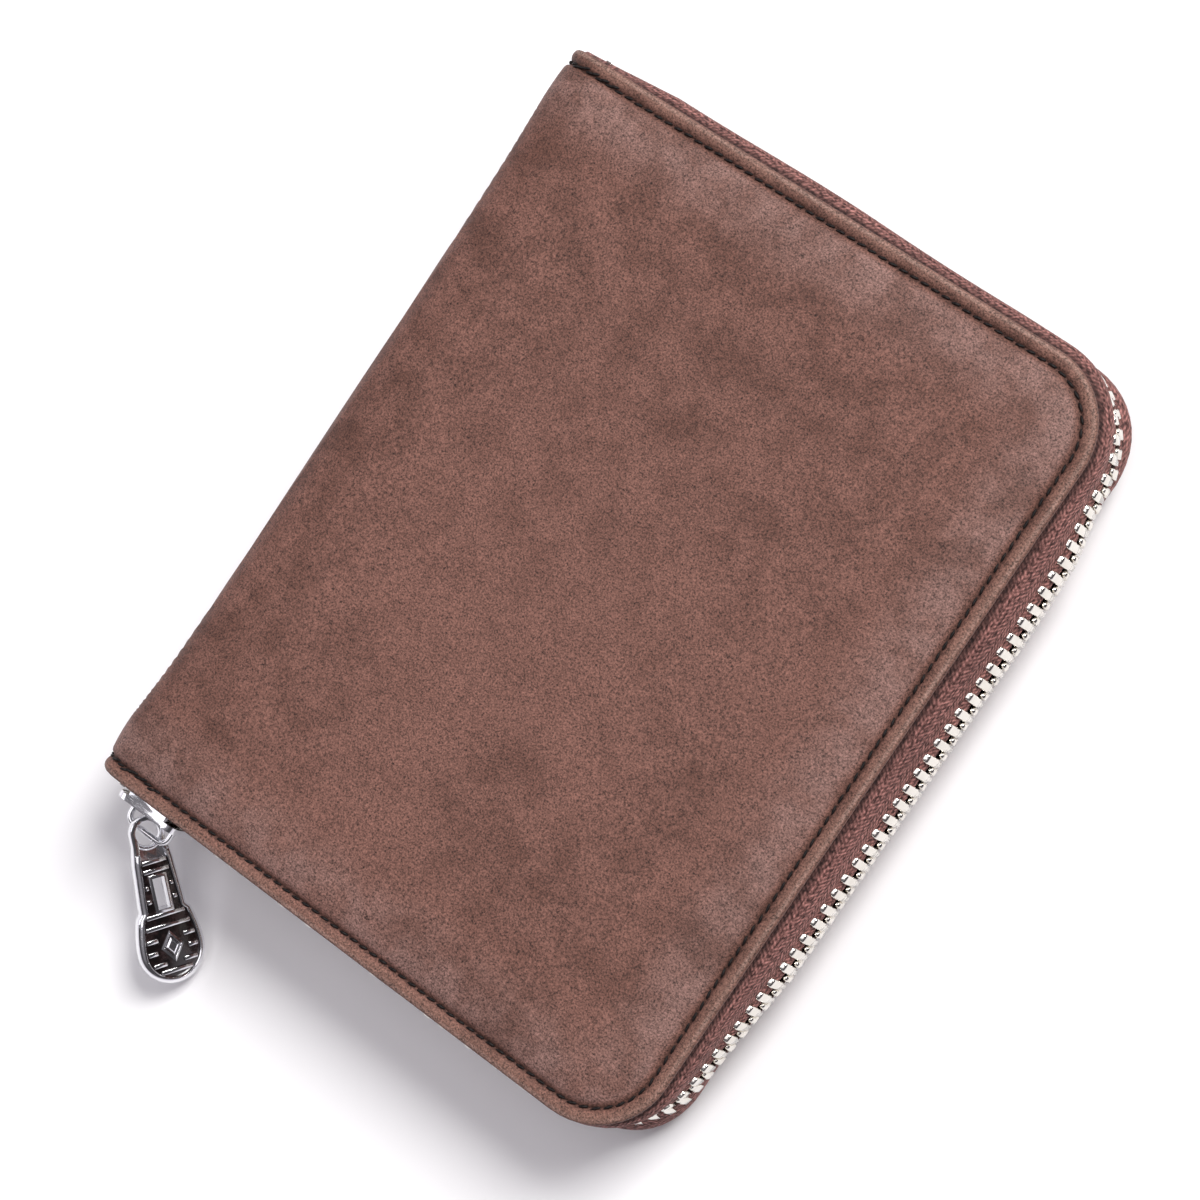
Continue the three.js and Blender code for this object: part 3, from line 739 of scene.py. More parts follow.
# the roll over the spine is a superellipse, measured along its length
rollStart = spineSide + hideShape["rollStart"]
angles = (1 - np.cos(np.linspace(0, math.pi, 1200))) * math.pi / 4
power = 2 / hideShape["rollPower"]
rollX = rollStart - hideShape["rollDepth"] * np.sin(angles) ** power
rollZ = rimHeight * np.clip(np.cos(angles), 0, 1) ** power
rollLengths = np.concatenate([[0], np.cumsum(np.hypot(np.diff(rollX), np.diff(rollZ)))])
steepX = -(((rollStart - rollX) / hideShape["rollDepth"]) ** (hideShape["rollPower"] - 1)) / hideShape["rollDepth"]
steepZ = (rollZ / rimHeight) ** (hideShape["rollPower"] - 1) / rimHeight
steep = np.hypot(steepX, steepZ)
patternMiddle = rollStart - rollLengths[-1]
halfPattern = zipSide - patternMiddle
pullPlaces = np.linspace(-60, 60, 241)
pullCurve = np.interp(pullPlaces, hideShape["pullAt"], hideShape["pull"])
pullCurve = np.convolve(np.pad(pullCurve, 8, "edge"), np.ones(17) / 17, "valid")


# From the flat cut to the wallet's front half: X past the roll's start goes down over the spine.
def wrapped(flat):
    made = np.array(flat, float)
    over = rollStart - made[:, 0]
    height = made[:, 2].copy()
    fade = 1 - 0.88 * smooth(-3 * mm, 7 * mm, over)
    height = np.where(height > 0, height * fade, height)
    outside = smooth(-1.2 * mm, -0.7 * mm, height)
    height += np.interp(made[:, 1] / mm, pullPlaces, pullCurve) * mm * smooth(0, 6 * mm, over) * outside
    inner = smooth(-1.1 * mm, -1.4 * mm, height)
    height += 0.32 * mm * inner * smooth(0, 6 * mm, over)
    x = np.interp(over, rollLengths, rollX) + np.interp(over, rollLengths, steepX / steep) * height
    z = np.interp(over, rollLengths, rollZ) + np.interp(over, rollLengths, steepZ / steep) * height
    rolls = over > 0
    made[:, 0] = np.where(rolls, x, made[:, 0])
    made[:, 2] = np.where(rolls, z, rimHeight + height) + middle
    return made


def flatEdge(x, y):
    return edgeOf(x, y, patternMiddle, halfPattern, halfLength, cornerRadius)


def flatEdgeAt(co):
    beyond, outX, outY = flatEdge(np.array([co.x]), np.array([co.y]))
    return beyond[0], outX[0], outY[0]


def cutHide():
    piece = added("front_leather", bpy.ops.mesh.primitive_plane_add, size=1, location=(patternMiddle, 0, 0))
    bpy.ops.object.transform_apply(location=True, rotation=False, scale=False)
    startEdit(piece)
    scaleBy((2 * halfPattern, 2 * halfLength, 1), (patternMiddle, 0, 0))
    bpy.ops.mesh.bevel(offset=cornerRadius, segments=hideShape["cornerCuts"], affect="VERTICES")
    bpy.ops.mesh.select_all(action="SELECT")
    bpy.ops.mesh.delete(type="ONLY_FACE")
    for shortest, cuts in hideShape["sideCuts"]:
        pick(piece, "EDGE", lambda e: e.calc_length() > shortest)
        bpy.ops.mesh.subdivide(number_cuts=cuts)
    pick(piece, "EDGE", lambda e: 3 * mm < e.calc_length())
    bpy.ops.mesh.subdivide(number_cuts=1)
    bpy.ops.mesh.select_all(action="SELECT")
    bpy.ops.mesh.edge_face_add()
    bpy.ops.mesh.select_mode(type="FACE")
    bpy.ops.mesh.select_all(action="SELECT")

    def toRing(beyond, height):
        def place(co):
            now, outX, outY = flatEdgeAt(co)
            step = beyond * mm - now
            return Vector((co.x + outX * step, co.y + outY * step, height * mm))
        return place

    movePicked(piece, toRing(*hideShape["rings"][0]))
    for ring in hideShape["rings"][1:]:
        bpy.ops.mesh.extrude_region()
        movePicked(piece, toRing(*ring))
    # both flat faces become grids, so that they can bend and swell
    for beyond, height in (hideShape["rings"][-1], hideShape["rings"][0]):
        level = height * mm
        pick(piece, "FACE", lambda f: len(f.verts) > 100 and abs(f.calc_center_median().z - level) < 0.01 * mm)
        bpy.ops.mesh.delete(type="ONLY_FACE")
        pick(piece, "VERT", lambda v: (
            abs(v.co.z - level) < 0.001 * mm and abs(flatEdgeAt(v.co)[0] - beyond * mm) < 0.01 * mm
        ))
        shape = bmesh.from_edit_mesh(piece.data)
        ring = [v for v in shape.verts if v.select]
        radius = cornerRadius + beyond * mm
        reach = radius * (1 - math.sqrt(0.5)) - beyond * mm
        wanted = Vector((patternMiddle + halfPattern - reach, halfLength - reach, level))
        start = min(ring, key=lambda v: (v.co - wanted).length)
        shape.select_history.clear()
        shape.select_history.add(start)
        bmesh.update_edit_mesh(piece.data)
        bpy.ops.mesh.fill_grid(span=hideShape["gridSpan"], offset=0)
    bpy.ops.mesh.select_all(action="SELECT")
    bpy.ops.mesh.normals_make_consistent(inside=False)
    bpy.ops.mesh.select_all(action="SELECT")
    bpy.ops.mesh.bisect(plane_co=(patternMiddle, 0, 0), plane_no=(1, 0, 0), use_fill=True, clear_inner=True)
    endEdit()
    return piece


def onPad(points):
    beyond, _, _ = flatEdge(points[:, 0], points[:, 1])
    top = (points[:, 2] > -0.5 * mm) & (beyond < -2.2 * mm)
    loose = smooth(-2.4 * mm, -5.5 * mm, beyond) * smooth(rollStart - 2 * mm, rollStart + 5 * mm, points[:, 0])
    return np.where(top, loose, 0)


padding = {"scale": 10, "frames": 20, "sideMove": 0.15 * mm}
padCloth = {
    "quality": 6, "mass": 0.4, "tension_stiffness": 40, "compression_stiffness": 40, "shear_stiffness": 20,
    "bending_stiffness": 8, "vertex_group_mass": "held", "use_pressure": True, "uniform_pressure_force": 4,
}


# The padding swells the hide between its seams: cloth under a light pressure, ten times life size.
def swellHide(piece):
    before = pointsOf(piece)
    loose = onPad(before)
    setPoints(piece, before * padding["scale"])
    held = piece.vertex_groups.new(name="held")
    for index, share in enumerate(1 - loose):
        held.add([index], float(share), "REPLACE")
    cloth = piece.modifiers.new("swell", "CLOTH")
    for key, value in padCloth.items():
        setattr(cloth.settings, key, value)
    cloth.settings.effector_weights.gravity = 0
    cloth.point_cache.frame_start = 1
    cloth.point_cache.frame_end = padding["frames"]
    scene = bpy.context.scene
    for number in range(1, padding["frames"] + 1):
        scene.frame_set(number)
    applyModifiers(piece)
    scene.frame_set(1)
    moved = pointsOf(piece) / padding["scale"] - before
    lift = moved[:, 2]
    print("padding lifts the hide by up to", round(lift.max() / mm, 2), "mm before its cap")
    cap = hideShape["swell"]
    lift = cap * np.tanh(lift / max(cap, 0.6 * lift.max()) * 1.6)
    side = np.clip(moved[:, :2], -padding["sideMove"], padding["sideMove"])
    setPoints(piece, before + np.column_stack([side, lift]))
    piece.vertex_groups.clear()


# The back is the front turned over, no lower than the floor.
def turnOver(piece):
    points = pointsOf(piece)
    points[:, 2] = np.maximum(2 * middle - points[:, 2], floorHeight)
    setPoints(piece, points)
    piece.data.flip_normals()


frontLeather = cutHide()
swellHide(frontLeather)
flatPoints = pointsOf(frontLeather)
setValue(frontLeather, "fromEdge", -flatEdge(flatPoints[:, 0], flatPoints[:, 1])[0] / mm)
setValue(frontLeather, "overSpine", (rollStart - flatPoints[:, 0]) / mm)
setPoints(frontLeather, wrapped(flatPoints))
smoothShade(frontLeather, 60)
backLeather = copyOf(frontLeather, "back_leather")
turnOver(backLeather)
for piece in (frontLeather, backLeather):
    finishWith(piece, hide, slot="cover_leather")
print("leather covers:", len(frontLeather.data.polygons), "faces each")


seamLook = {
    "inset": 2.2, "pitch": 1.72, "length": 1.4, "radius": 0.2, "slant": 9, "depth": -0.33,
    "tackFrom": 1.5, "tackTo": 9.5,  # where it is sewn twice
}


def oneStitch(name, length, radius):
    piece = added(name, bpy.ops.mesh.primitive_uv_sphere_add, segments=6, ring_count=6, radius=1)
    startEdit(piece)
    bpy.ops.transform.rotate(value=math.pi / 2, orient_axis="Y", center_override=(0, 0, 0))
    scaleBy((length / 2, radius, radius))
    # the ends dive into their holes
    movePicked(piece, lambda co: Vector((co.x, co.y, co.z - 0.35 * radius * (2 * co.x / length) ** 2)))
    endEdit()
    piece.data.polygons.foreach_set("use_smooth", [True] * len(piece.data.polygons))
    return piece


def sewSeam(name, seed):
    chance = random.Random(seed)
    inset = seamLook["inset"] * mm
    length = 2 * (zipSide - cornerRadius - patternMiddle) + math.pi * (cornerRadius - inset) + straightLong
    count = round(length / (seamLook["pitch"] * mm))
    matrices = []
    for index in range(count):
        s = (index + 0.5) * length / count
        point, angle = edgePoint(s, patternMiddle, inset)
        wave = 0.07 * mm * math.sin(s / (5.2 * mm)) + chance.uniform(-0.05, 0.05) * mm
        point += wave * Vector((math.sin(angle), -math.cos(angle), 0))
        slant = turn(seamLook["slant"] + chance.uniform(-4, 4))
        point.z = (seamLook["depth"] + chance.uniform(-0.05, 0.04)) * mm
        matrices.append(Matrix.Translation(point) @ Matrix.Rotation(angle + slant, 4, "Z"))
        # the seam is sewn twice near the spine
        fromSpine = point.x - (spineSide - 1.5 * mm)
        if seamLook["tackFrom"] * mm < fromSpine < seamLook["tackTo"] * mm:
            second = point + Vector((0.5 * seamLook["pitch"] * mm, 0.26 * mm * chance.choice((-1, 1)), 0.12 * mm))
            matrices.append(Matrix.Translation(second) @ Matrix.Rotation(angle + slant * 1.6, 4, "Z"))
    stitch = oneStitch(name + "_model", seamLook["length"] * mm, seamLook["radius"] * mm)
    whole = joinedCopies(stitch, name, matrices)
    setPoints(whole, wrapped(pointsOf(whole)))
    return whole


frontSeam = sewSeam("front_stitches", 3)
backSeam = sewSeam("back_stitches", 8)
turnOver(backSeam)
for piece in (frontSeam, backSeam):
    finishWith(piece, thread, slot="thread")
print("seams sewn")


tapeShape = {
    # beyond the cover's edge, height over the zip's middle: up the outside and back down the inside
    "section": [
        (0.78, 1.75), (0.86, 2.2), (0.72, 2.65), (0.5, 3.0), (0.5, 4.1), (0.48, 5.2), (0.34, 6.1), (0.0, 6.9),
        (-0.5, 7.55), (-1.2, 7.98), (-4.6, 8.05), (-4.6, 7.5), (-1.35, 7.45), (-0.75, 7.05), (-0.42, 6.4),
        (-0.2, 5.5), (-0.1, 4.4), (-0.1, 3.0), (-0.3, 2.6), (-0.36, 2.1), (-0.2, 1.7), (0.3, 1.5),
    ],
    "tail": 1.2,
    "step": 1.35,
    "pucker": 1.3,  # how far the lower tape stands out at the corners
}


def layTapeUv(piece, section, sign):
    points = pointsOf(piece)
    beyond = edgeOf(points[:, 0], points[:, 1], 0, zipSide, halfLength, cornerRadius)[0]
    height = sign * (points[:, 2] - middle)
    s = alongZip(points[:, 0], points[:, 1])
    corners = np.array(section) * mm
    walked = np.concatenate([[0], np.cumsum(np.hypot(*np.diff(corners, axis=0).T))])
    nearest = np.argmin((beyond[:, None] - corners[:, 0]) ** 2 + (height[:, None] - corners[:, 1]) ** 2, axis=1)
    layer = piece.data.uv_layers.new(name="tapeUV")
    for corner in piece.data.loops:
        layer.data[corner.index].uv = (s[corner.vertex_index], walked[nearest[corner.vertex_index]])


# The chain bows out and leans with the tape; the flange stays sewn under the cover.
def bowOut(piece, sign, belly=0.0, pucker=0.0):
    points = pointsOf(piece)
    _, outX, outY = edgeOf(points[:, 0], points[:, 1], 0, zipSide, halfLength, cornerRadius)
    height = sign * (points[:, 2] - middle) / mm
    s = alongZip(points[:, 0], points[:, 1])
    move = bowAt(s) * np.clip(1 - np.abs(height) / chainBow["flange"], 0, 1)
    bulge = smooth(8.0, 6.2, height) * smooth(2.4, 4.8, height)
    move += belly * bowAt(s, "belly") * bulge
    nearCorner = straightShort + arcLength / 2
    for corner, share in ((nearCorner, 0.45), (zipLength - nearCorner, 1.0)):
        move += share * pucker * mm * np.exp(-(((s - corner) / (9 * mm)) ** 2)) * bulge
    if belly:
        move += 0.12 * mm * np.sin(s / (6.5 * mm)) * bulge
    points[:, 0] += outX * move
    points[:, 1] += outY * move
    setPoints(piece, points)


def makeTape(name, sign):
    start = tapeShape["tail"] * mm
    length = zipLength - 2 * start
    count = round(length / (tapeShape["step"] * mm))
    frames = [zipFrame(start + length * index / count) for index in range(count + 1)]
    section = [(0, -beyond * mm, middle + sign * height * mm) for beyond, height in tapeShape["section"]]
    piece = sweep(name, frames, section)
    layTapeUv(piece, tapeShape["section"], sign)
    bowOut(piece, sign, 1.0 if sign > 0 else 0.6, tapeShape["pucker"] if sign < 0 else 0.2)
    smoothShade(piece, 50)
    return piece


frontTape, backTape = makeTape("front_tape", 1), makeTape("back_tape", -1)
print("zip tapes made")

toothShape = {
    "pitch": 2.4, "start": 2.5, "width": 1.26, "depth": 1.6, "top": 2.95, "neck": 1.1, "tip": -0.85,
    "headWidth": 0.8, "centre": 0.38, "bevel": 0.13, "shoulder": 0.35, "nib": 0.4, "crown": 0.3,
}


# One tooth of the upper row: two legs clamped round the bead, and a head that hooks between its neighbours.
def oneTooth(name, sign):
    t = toothShape
    piece = added(name, bpy.ops.mesh.primitive_cube_add, size=1, location=(0, 0, 0))
    startEdit(piece)
    scaleBy((t["width"] * mm, t["depth"] * mm, (t["top"] - t["neck"]) * mm))
    bpy.ops.transform.translate(value=(0, 0, (t["top"] + t["neck"]) / 2 * mm))
    pick(piece, "FACE", lambda f: f.normal.z < -0.9)
    drawOut(-t["shoulder"])
    scaleBy((t["headWidth"] / t["width"], 0.86, 1))
    drawOut(t["tip"] - t["neck"] + t["shoulder"] + t["nib"])
    drawOut(-t["nib"])
    scaleBy((0.62, 0.7, 1))
    # the legs' ends are rounded
    pick(piece, "FACE", lambda f: f.normal.z > 0.9)
    drawOut(t["crown"])
    scaleBy((0.74, 0.84, 1))
    endEdit()
    addModifier(piece, "BEVEL", width=t["bevel"] * mm, segments=1, limit_method="ANGLE", angle_limit=turn(35))
    applyModifiers(piece)
    if sign < 0:
        piece.data.transform(Matrix.Diagonal((1, 1, -1, 1)))
        piece.data.flip_normals()
    smoothShade(piece, 50)
    return piece


def makeTeeth(name, sign):
    t = toothShape
    chance = random.Random(11 + sign)
    pitch = t["pitch"] * mm
    start = t["start"] * mm + (0.25 if sign > 0 else 0.75) * pitch
    count = int((zipLength - 2 * t["start"] * mm) / pitch)
    matrices = []
    for index in range(count):
        s = start + index * pitch
        lean = Matrix.Rotation(turn(chance.uniform(-3, 3)), 4, "Y")
        lean = lean @ Matrix.Rotation(turn(chance.uniform(-2, 2)), 4, "X")
        matrices.append(zipFrame(s, t["centre"] * mm, middle) @ lean)
    row = joinedCopies(oneTooth(name + "_model", sign), name, matrices)
    bowOut(row, sign)
    return row


frontTeeth, backTeeth = makeTeeth("front_teeth", 1), makeTeeth("back_teeth", -1)
print("teeth made:", len(frontTeeth.data.polygons), "faces each row")

finishWith(frontTape, tapeCloth, "front_half", "zip_tape", ["front_zip_tape"])
finishWith(backTape, tapeCloth, "back_half", "zip_tape", ["back_zip_tape"])
finishWith(frontTeeth, nickel, "front_half", "nickel", ["front_zip_teeth"])
finishWith(backTeeth, nickel, "back_half", "nickel", ["back_zip_teeth"])


sliderBody = softened("slider_body", "zip_slider", 0.32 * mm, 3)
bridge = {"bar": 0.9, "bend": 1.3}
bridgeLow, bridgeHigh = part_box("slider_bridge")


# The loop that the puller hangs on: a round bar bent to a flat arch, its ends in the slider's face.
def makeBridge():
    half = bridge["bar"] / 2 * mm
    bend = bridge["bend"] * mm
    left, right = bridgeLow.x + half, bridgeHigh.x - half
    near, far = bridgeHigh.y + 0.1 * mm, bridgeLow.y + half
    level = (bridgeLow.z + bridgeHigh.z) / 2
    turns = [(bend * math.cos(a), bend * math.sin(a)) for a in np.linspace(0.2, 1.5, 7)]
    path = [(left, y) for y in np.linspace(near, far + bend, 4)]
    path += [(left + bend - x, far + bend - y) for x, y in turns]
    path += [(x, far) for x in np.linspace(left + bend + half, right - bend - half, 5)]
    path += [(right - bend + x, far + bend - y) for x, y in reversed(turns)]
    path += [(right, y) for y in np.linspace(far + bend, near, 4)]
    path = [Vector((x, y, level)) for x, y in path]
    frames = []
    for index, point in enumerate(path):
        along = (path[min(index + 1, len(path) - 1)] - path[max(index - 1, 0)]).normalized()
        side = along.cross(Vector((0, 0, 1)))
        upward = Vector((0, 0, bridgeHigh.z - bridgeLow.z)) / 2
        turned = Matrix((side * half, upward, along)).transposed().to_4x4()
        frames.append(Matrix.Translation(point) @ turned)
    piece = sweep("puller_bridge", frames)
    smoothShade(piece, 50)
    return piece


sliderBridge = makeBridge()
finishWith(sliderBody, chrome, "slider", "chrome", ["slider_body"])
finishWith(sliderBridge, chrome, "slider", "chrome", ["slider_bridge"])

pull = {
    "heading": -49, "droop": 20.3, "roll": 42, "drop": 0.3, "barIn": 0.4,
    "length": 22.2, "neck": 6.9, "head": 9.9, "thick": 2.0, "lip": 0.95, "taper": 0.45,
    "eye": 2.55, "eyeHole": 1.8, "eyeThick": 1.1, "ringMiddle": 2.16, "ringWire": 0.38,
    "windowStart": 6.5, "windowLong": 4.6, "windowWide": 1.8,
    "sunk": 0.8, "ribTop": 0.18, "ribHalf": 0.3, "diamondAt": 16.7, "diamondSize": 1.8,
    # along the puller: place of each rib, and how far from the middle it starts
    "ribs": [
        (4.1, 0), (5.4, 0), (7.7, 1.6), (9.7, 1.6), (11.95, 0), (13.6, 0), (15.4, 1.9), (17.2, 2.3), (19.0, 1.3),
        (20.2, 0),
    ],
    # the shoulder, as places before the head's middle and how far the edge lies inside the head's
    "shoulder": [(-5.4, 0.9), (-4.4, 0.6), (-3.2, 0.33), (-2.0, 0.13), (-1.0, 0.03)],
}
pullOrigin = Vector((
    (bridgeLow.x + bridgeHigh.x) / 2, bridgeLow.y + pull["barIn"] * mm,
    (bridgeLow.z + bridgeHigh.z) / 2 - pull["drop"] * mm,
))
heading, droop = turn(pull["heading"]), turn(pull["droop"])
alongPull = Vector((math.cos(heading) * math.cos(droop), math.sin(heading) * math.cos(droop), -math.sin(droop)))
sidePull = Vector((-math.sin(heading), math.cos(heading), 0))
upPull = alongPull.cross(sidePull)
rolled = Matrix.Rotation(-turn(pull["roll"]), 3, alongPull)
sidePull, upPull = rolled @ sidePull, rolled @ upPull
pullPlace = Matrix.Translation(pullOrigin) @ Matrix((alongPull, sidePull, upPull)).transposed().to_4x4()


# The puller's outline in its own plane, from the eye along X: a straight neck, shoulders and a round head.
def pullEdge(inset, fromX=None, count=15):
    neck, head = pull["neck"] / 2 - inset, pull["head"] / 2 - inset
    centre = pull["length"] - pull["head"] / 2
    points = []
    if fromX is None:
        eye = pull["eye"] - inset
        arc = np.linspace(math.pi / 2, 1.5 * math.pi, count)
        points += [(1.5, eye)] + [(eye * math.cos(a), eye * math.sin(a)) for a in arc] + [(1.5, -eye)]
    else:
        points += [(fromX, y) for y in np.linspace(neck - pull["taper"], pull["taper"] - neck, count)]
    bend = [(-6.2, -neck), (-6.0, -neck - 0.06), (-5.75, -neck - 0.24)]
    bend += [(x, within - head) for x, within in pull["shoulder"]]
    side = [(4.2 + t * (centre - 11.4), neck - pull["taper"] * (1 - t)) for t in np.linspace(0, 1, 5)]
    points += [(x, -y) for x, y in side] + [(centre + x, y) for x, y in bend]
    points += [(centre + head * math.cos(a), head * math.sin(a)) for a in np.linspace(-math.pi / 2, math.pi / 2, 25)]
    points += [(centre + x, -y) for x, y in reversed(bend)] + side[::-1]
    return points


def outlinePiece(name, rings, fromX=None):
    outlines = [(pullEdge(inset, None if fromX is None else fromX + inset), height) for inset, height in rings]
    piece = added(
        name, bpy.ops.mesh.primitive_circle_add, vertices=len(outlines[0][0]), radius=1, fill_type="NGON",
    )
    for vertex, (x, y) in zip(piece.data.vertices, outlines[0][0]):
        vertex.co = (x * mm, y * mm, outlines[0][1] * mm)
    startEdit(piece, "FACE")
    last = outlines[0][0]
    for outline, height in outlines[1:]:
        bpy.ops.mesh.extrude_region()
        known = {(round(x, 4), round(y, 4)): target for (x, y), target in zip(last, outline)}
        keys = np.array(list(known))

        def place(co):
            index = int(np.argmin((keys[:, 0] - co.x / mm) ** 2 + (keys[:, 1] - co.y / mm) ** 2))
            x, y = known[tuple(keys[index])]
            return Vector((x * mm, y * mm, height * mm))

        movePicked(piece, place)
        last = outline
    endEdit()
    cleanNormals(piece, 0.0005 * mm)
    return piece


def cutAway(piece, tool):
    addModifier(piece, "BOOLEAN", operation="DIFFERENCE", object=tool, solver="EXACT")
    applyModifiers(piece)
    bpy.data.objects.remove(tool)


def block(name, low, high, bevel=0.0, segments=2):
    low, high = Vector(low) * mm, Vector(high) * mm
    piece = added(name, bpy.ops.mesh.primitive_cube_add, size=1, location=(0, 0, 0))
    startEdit(piece)
    scaleBy(high - low)
    bpy.ops.transform.translate(value=(low + high) / 2)
    if bevel:
        bpy.ops.mesh.select_all(action="SELECT")
        bpy.ops.mesh.bevel(offset=bevel * mm, segments=segments, affect="EDGES")
    endEdit()
    return piece


def makePuller():
    half = pull["thick"] / 2
    lip = pull["lip"]
    body = outlinePiece("puller_plate", [
        (0.3, -half), (0.08, -half + 0.1), (0.0, -half + 0.32), (0.0, half - 1.0), (0.05, half - 0.66), (0.17, half - 0.36),
        (0.37, half - 0.13), (0.6, half - 0.02), (lip - 0.14, half), (lip, half - 0.14), (lip + 0.03, half - 0.75),
    ])
    # the eye is thinner than the plate, and round
    reach = pull["eye"] + 1
    for low, high in ((pull["eyeThick"] / 2, half + 1), (-half - 1, -pull["eyeThick"] / 2)):
        cutAway(body, block("eyeCut", (-reach, -reach, low), (pull["eye"] + 0.2, reach, high)))
    w = pull["windowWide"] / 2
    window = (pull["windowStart"], pull["windowStart"] + pull["windowLong"])
    cutAway(body, block("windowCut", (window[0], -w, -half - 1), (window[1], w, half + 1)))
    cutAway(body, added(
        "eyeHole", bpy.ops.mesh.primitive_cylinder_add, vertices=48, radius=pull["eyeHole"] * mm, depth=6 * mm,
    ))
    addModifier(body, "BEVEL", width=0.12 * mm, segments=2, limit_method="ANGLE", angle_limit=turn(50))
    applyModifiers(body)
    smoothShade(body, 40)

    # a round wire ring set into the eye
    ring = added(
        "eyeRing", bpy.ops.mesh.primitive_torus_add, major_radius=pull["ringMiddle"] * mm,
        minor_radius=pull["ringWire"] * mm, major_segments=48, minor_segments=14,
    )
    startEdit(ring)
    scaleBy((1, 1, 1.35))
    endEdit()
    smoothShade(ring)

    # the window's raised frame
    base = half - pull["sunk"]
    low, high = (window[0] - 0.55, -w - 0.5, base), (window[1] + 0.55, w + 0.5, half - 0.08)
    frameOut = block("windowFrame", low, high, 0.12)
    cutAway(frameOut, block("frameCut", (window[0], -w, half - 2), (window[1], w, half + 1)))
    smoothShade(frameOut, 35)

    upperEdge = np.array(sorted(p for p in pullEdge(lip + 0.2, 3.5) if p[1] > 0.05)).T
    ribs = []
    for x, gap in pull["ribs"]:
        reachY = np.interp(x, *upperEdge)
        for low, high in (((-reachY, reachY),) if not gap else ((-reachY, -gap), (gap, reachY))):
            if high - low > 0.3:
                wide = pull["ribHalf"]
                ribs.append(block("rib", (x - wide, low, base), (x + wide, high, half - pull["ribTop"]), 0.13))
    bars = joinPieces("pullerBars", ribs)
    smoothShade(bars, 35)

    # a plain diamond in the head
    diamond = added(
        "pullerDiamond", bpy.ops.mesh.primitive_circle_add, vertices=4, radius=pull["diamondSize"] * mm,
        fill_type="NGON",
    )
    startEdit(diamond)
    scaleBy((1.3, 0.95, 1))
    bpy.ops.transform.translate(value=(pull["diamondAt"] * mm, 0, base * mm))
    bpy.ops.mesh.select_mode(type="FACE")
    drawOut(0.55)
    for thickness, depth in ((0.28, 0.1), (0.22, -0.32), (0.35, 0.3)):
        bpy.ops.mesh.inset(thickness=thickness * mm, depth=depth * mm)
    endEdit()
    cleanNormals(diamond)
    smoothShade(diamond, 25)

    metal = joinPieces("puller_metal", [body, ring, frameOut, bars, diamond])
    metal.data.transform(pullPlace)

    black = outlinePiece("puller_enamel", [
        (lip + 0.02, half - 0.85), (lip + 0.02, half - 0.46), (lip + 0.12, half - 0.42),
    ], 3.45)
    clear = 0.2  # the enamel stops short of the window
    low, high = (window[0] - clear, -w - clear, half - 2), (window[1] + clear, w + clear, half + 1)
    cutAway(black, block("enamelCut", low, high))
    black.data.transform(pullPlace)
    smoothShade(black, 35)
    return metal, black


pullerMetal, pullerEnamel = makePuller()
finishWith(pullerMetal, chrome, "puller", "chrome", ["puller_body"])
finishWith(pullerEnamel, enamel, "puller", "enamel", ["puller_inlay"])
print("slider and puller made")


# what is softened from the CAD: body, finish, slot, what its name ends in, and how far its edges are rounded
softParts = {
    "front_lining": ("front_half", lining, "lining_leather", "_soft", 0.2),
    "back_lining": ("back_half", lining, "lining_leather", "_soft", 0.2),
    "spine_lining": ("spine", lining, "lining_leather", "_soft", 0.2),
    "bill_pocket": ("back_half", pocketCloth, "pocket_fabric", "_soft", 0.18),
    "card_slot_1": ("back_half", lining, "pocket_fabric", "_soft", 0.18),
    "card_slot_2": ("back_half", lining, "pocket_fabric", "_soft", 0.18),
    "card_slot_3": ("back_half", lining, "pocket_fabric", "_soft", 0.18),
    "card_slot_4": ("back_half", lining, "pocket_fabric", "_soft", 0.18),
    "coin_pocket_back": ("front_half", lining, "pocket_fabric", "_soft", 0.18),
    "coin_pocket_panel": ("front_half", lining, "pocket_fabric", "_soft", 0.18),
    "coin_pocket_gusset": ("front_half", pocketCloth, "pocket_fabric", "_soft", 0.18),
    "coin_zip_tape": ("front_half", pocketCloth, "zip_tape", "coin_tape", 0.12),
    "coin_zip_teeth": ("front_half", nickel, "nickel", "_metal", 0.12),
    "front_top_stop": ("front_half", nickel, "nickel", "_metal", 0.12),
    "back_top_stop": ("back_half", nickel, "nickel", "_metal", 0.12),
    "bottom_stop": ("back_half", nickel, "nickel", "_metal", 0.12),
    "coin_zip_slider": ("coin_slider", chrome, "chrome", "coin_slider_metal", 0.15),
    "coin_zip_puller": ("coin_puller", chrome, "chrome", "coin_puller_metal", 0.12),
}
for name, (body, material, slot, ending, rounding) in softParts.items():
    made = name + ending if ending.startswith("_") else ending
    finishWith(softened(name, made, rounding * mm), material, body, slot, [name])

pocketSeam = {"pitch": 2.8, "length": 2.15, "radius": 0.16, "inset": 1.7, "ends": 1.6}


# Straight rows of stitches, each from one point to another.
def sewRows(name, rows, seed):
    chance = random.Random(seed)
    matrices = []
    for start, end in rows:
        count = round((end - start).length / (pocketSeam["pitch"] * mm))
        heading = math.atan2(end.y - start.y, end.x - start.x)
        for index in range(count):
            point = start.lerp(end, (index + 0.5) / count)
            tilt = turn(6 + chance.uniform(-3, 3))
            matrices.append(Matrix.Translation(point) @ Matrix.Rotation(heading + tilt, 4, "Z"))
    stitch = oneStitch(name + "_model", pocketSeam["length"] * mm, pocketSeam["radius"] * mm)
    return joinedCopies(stitch, name, matrices)


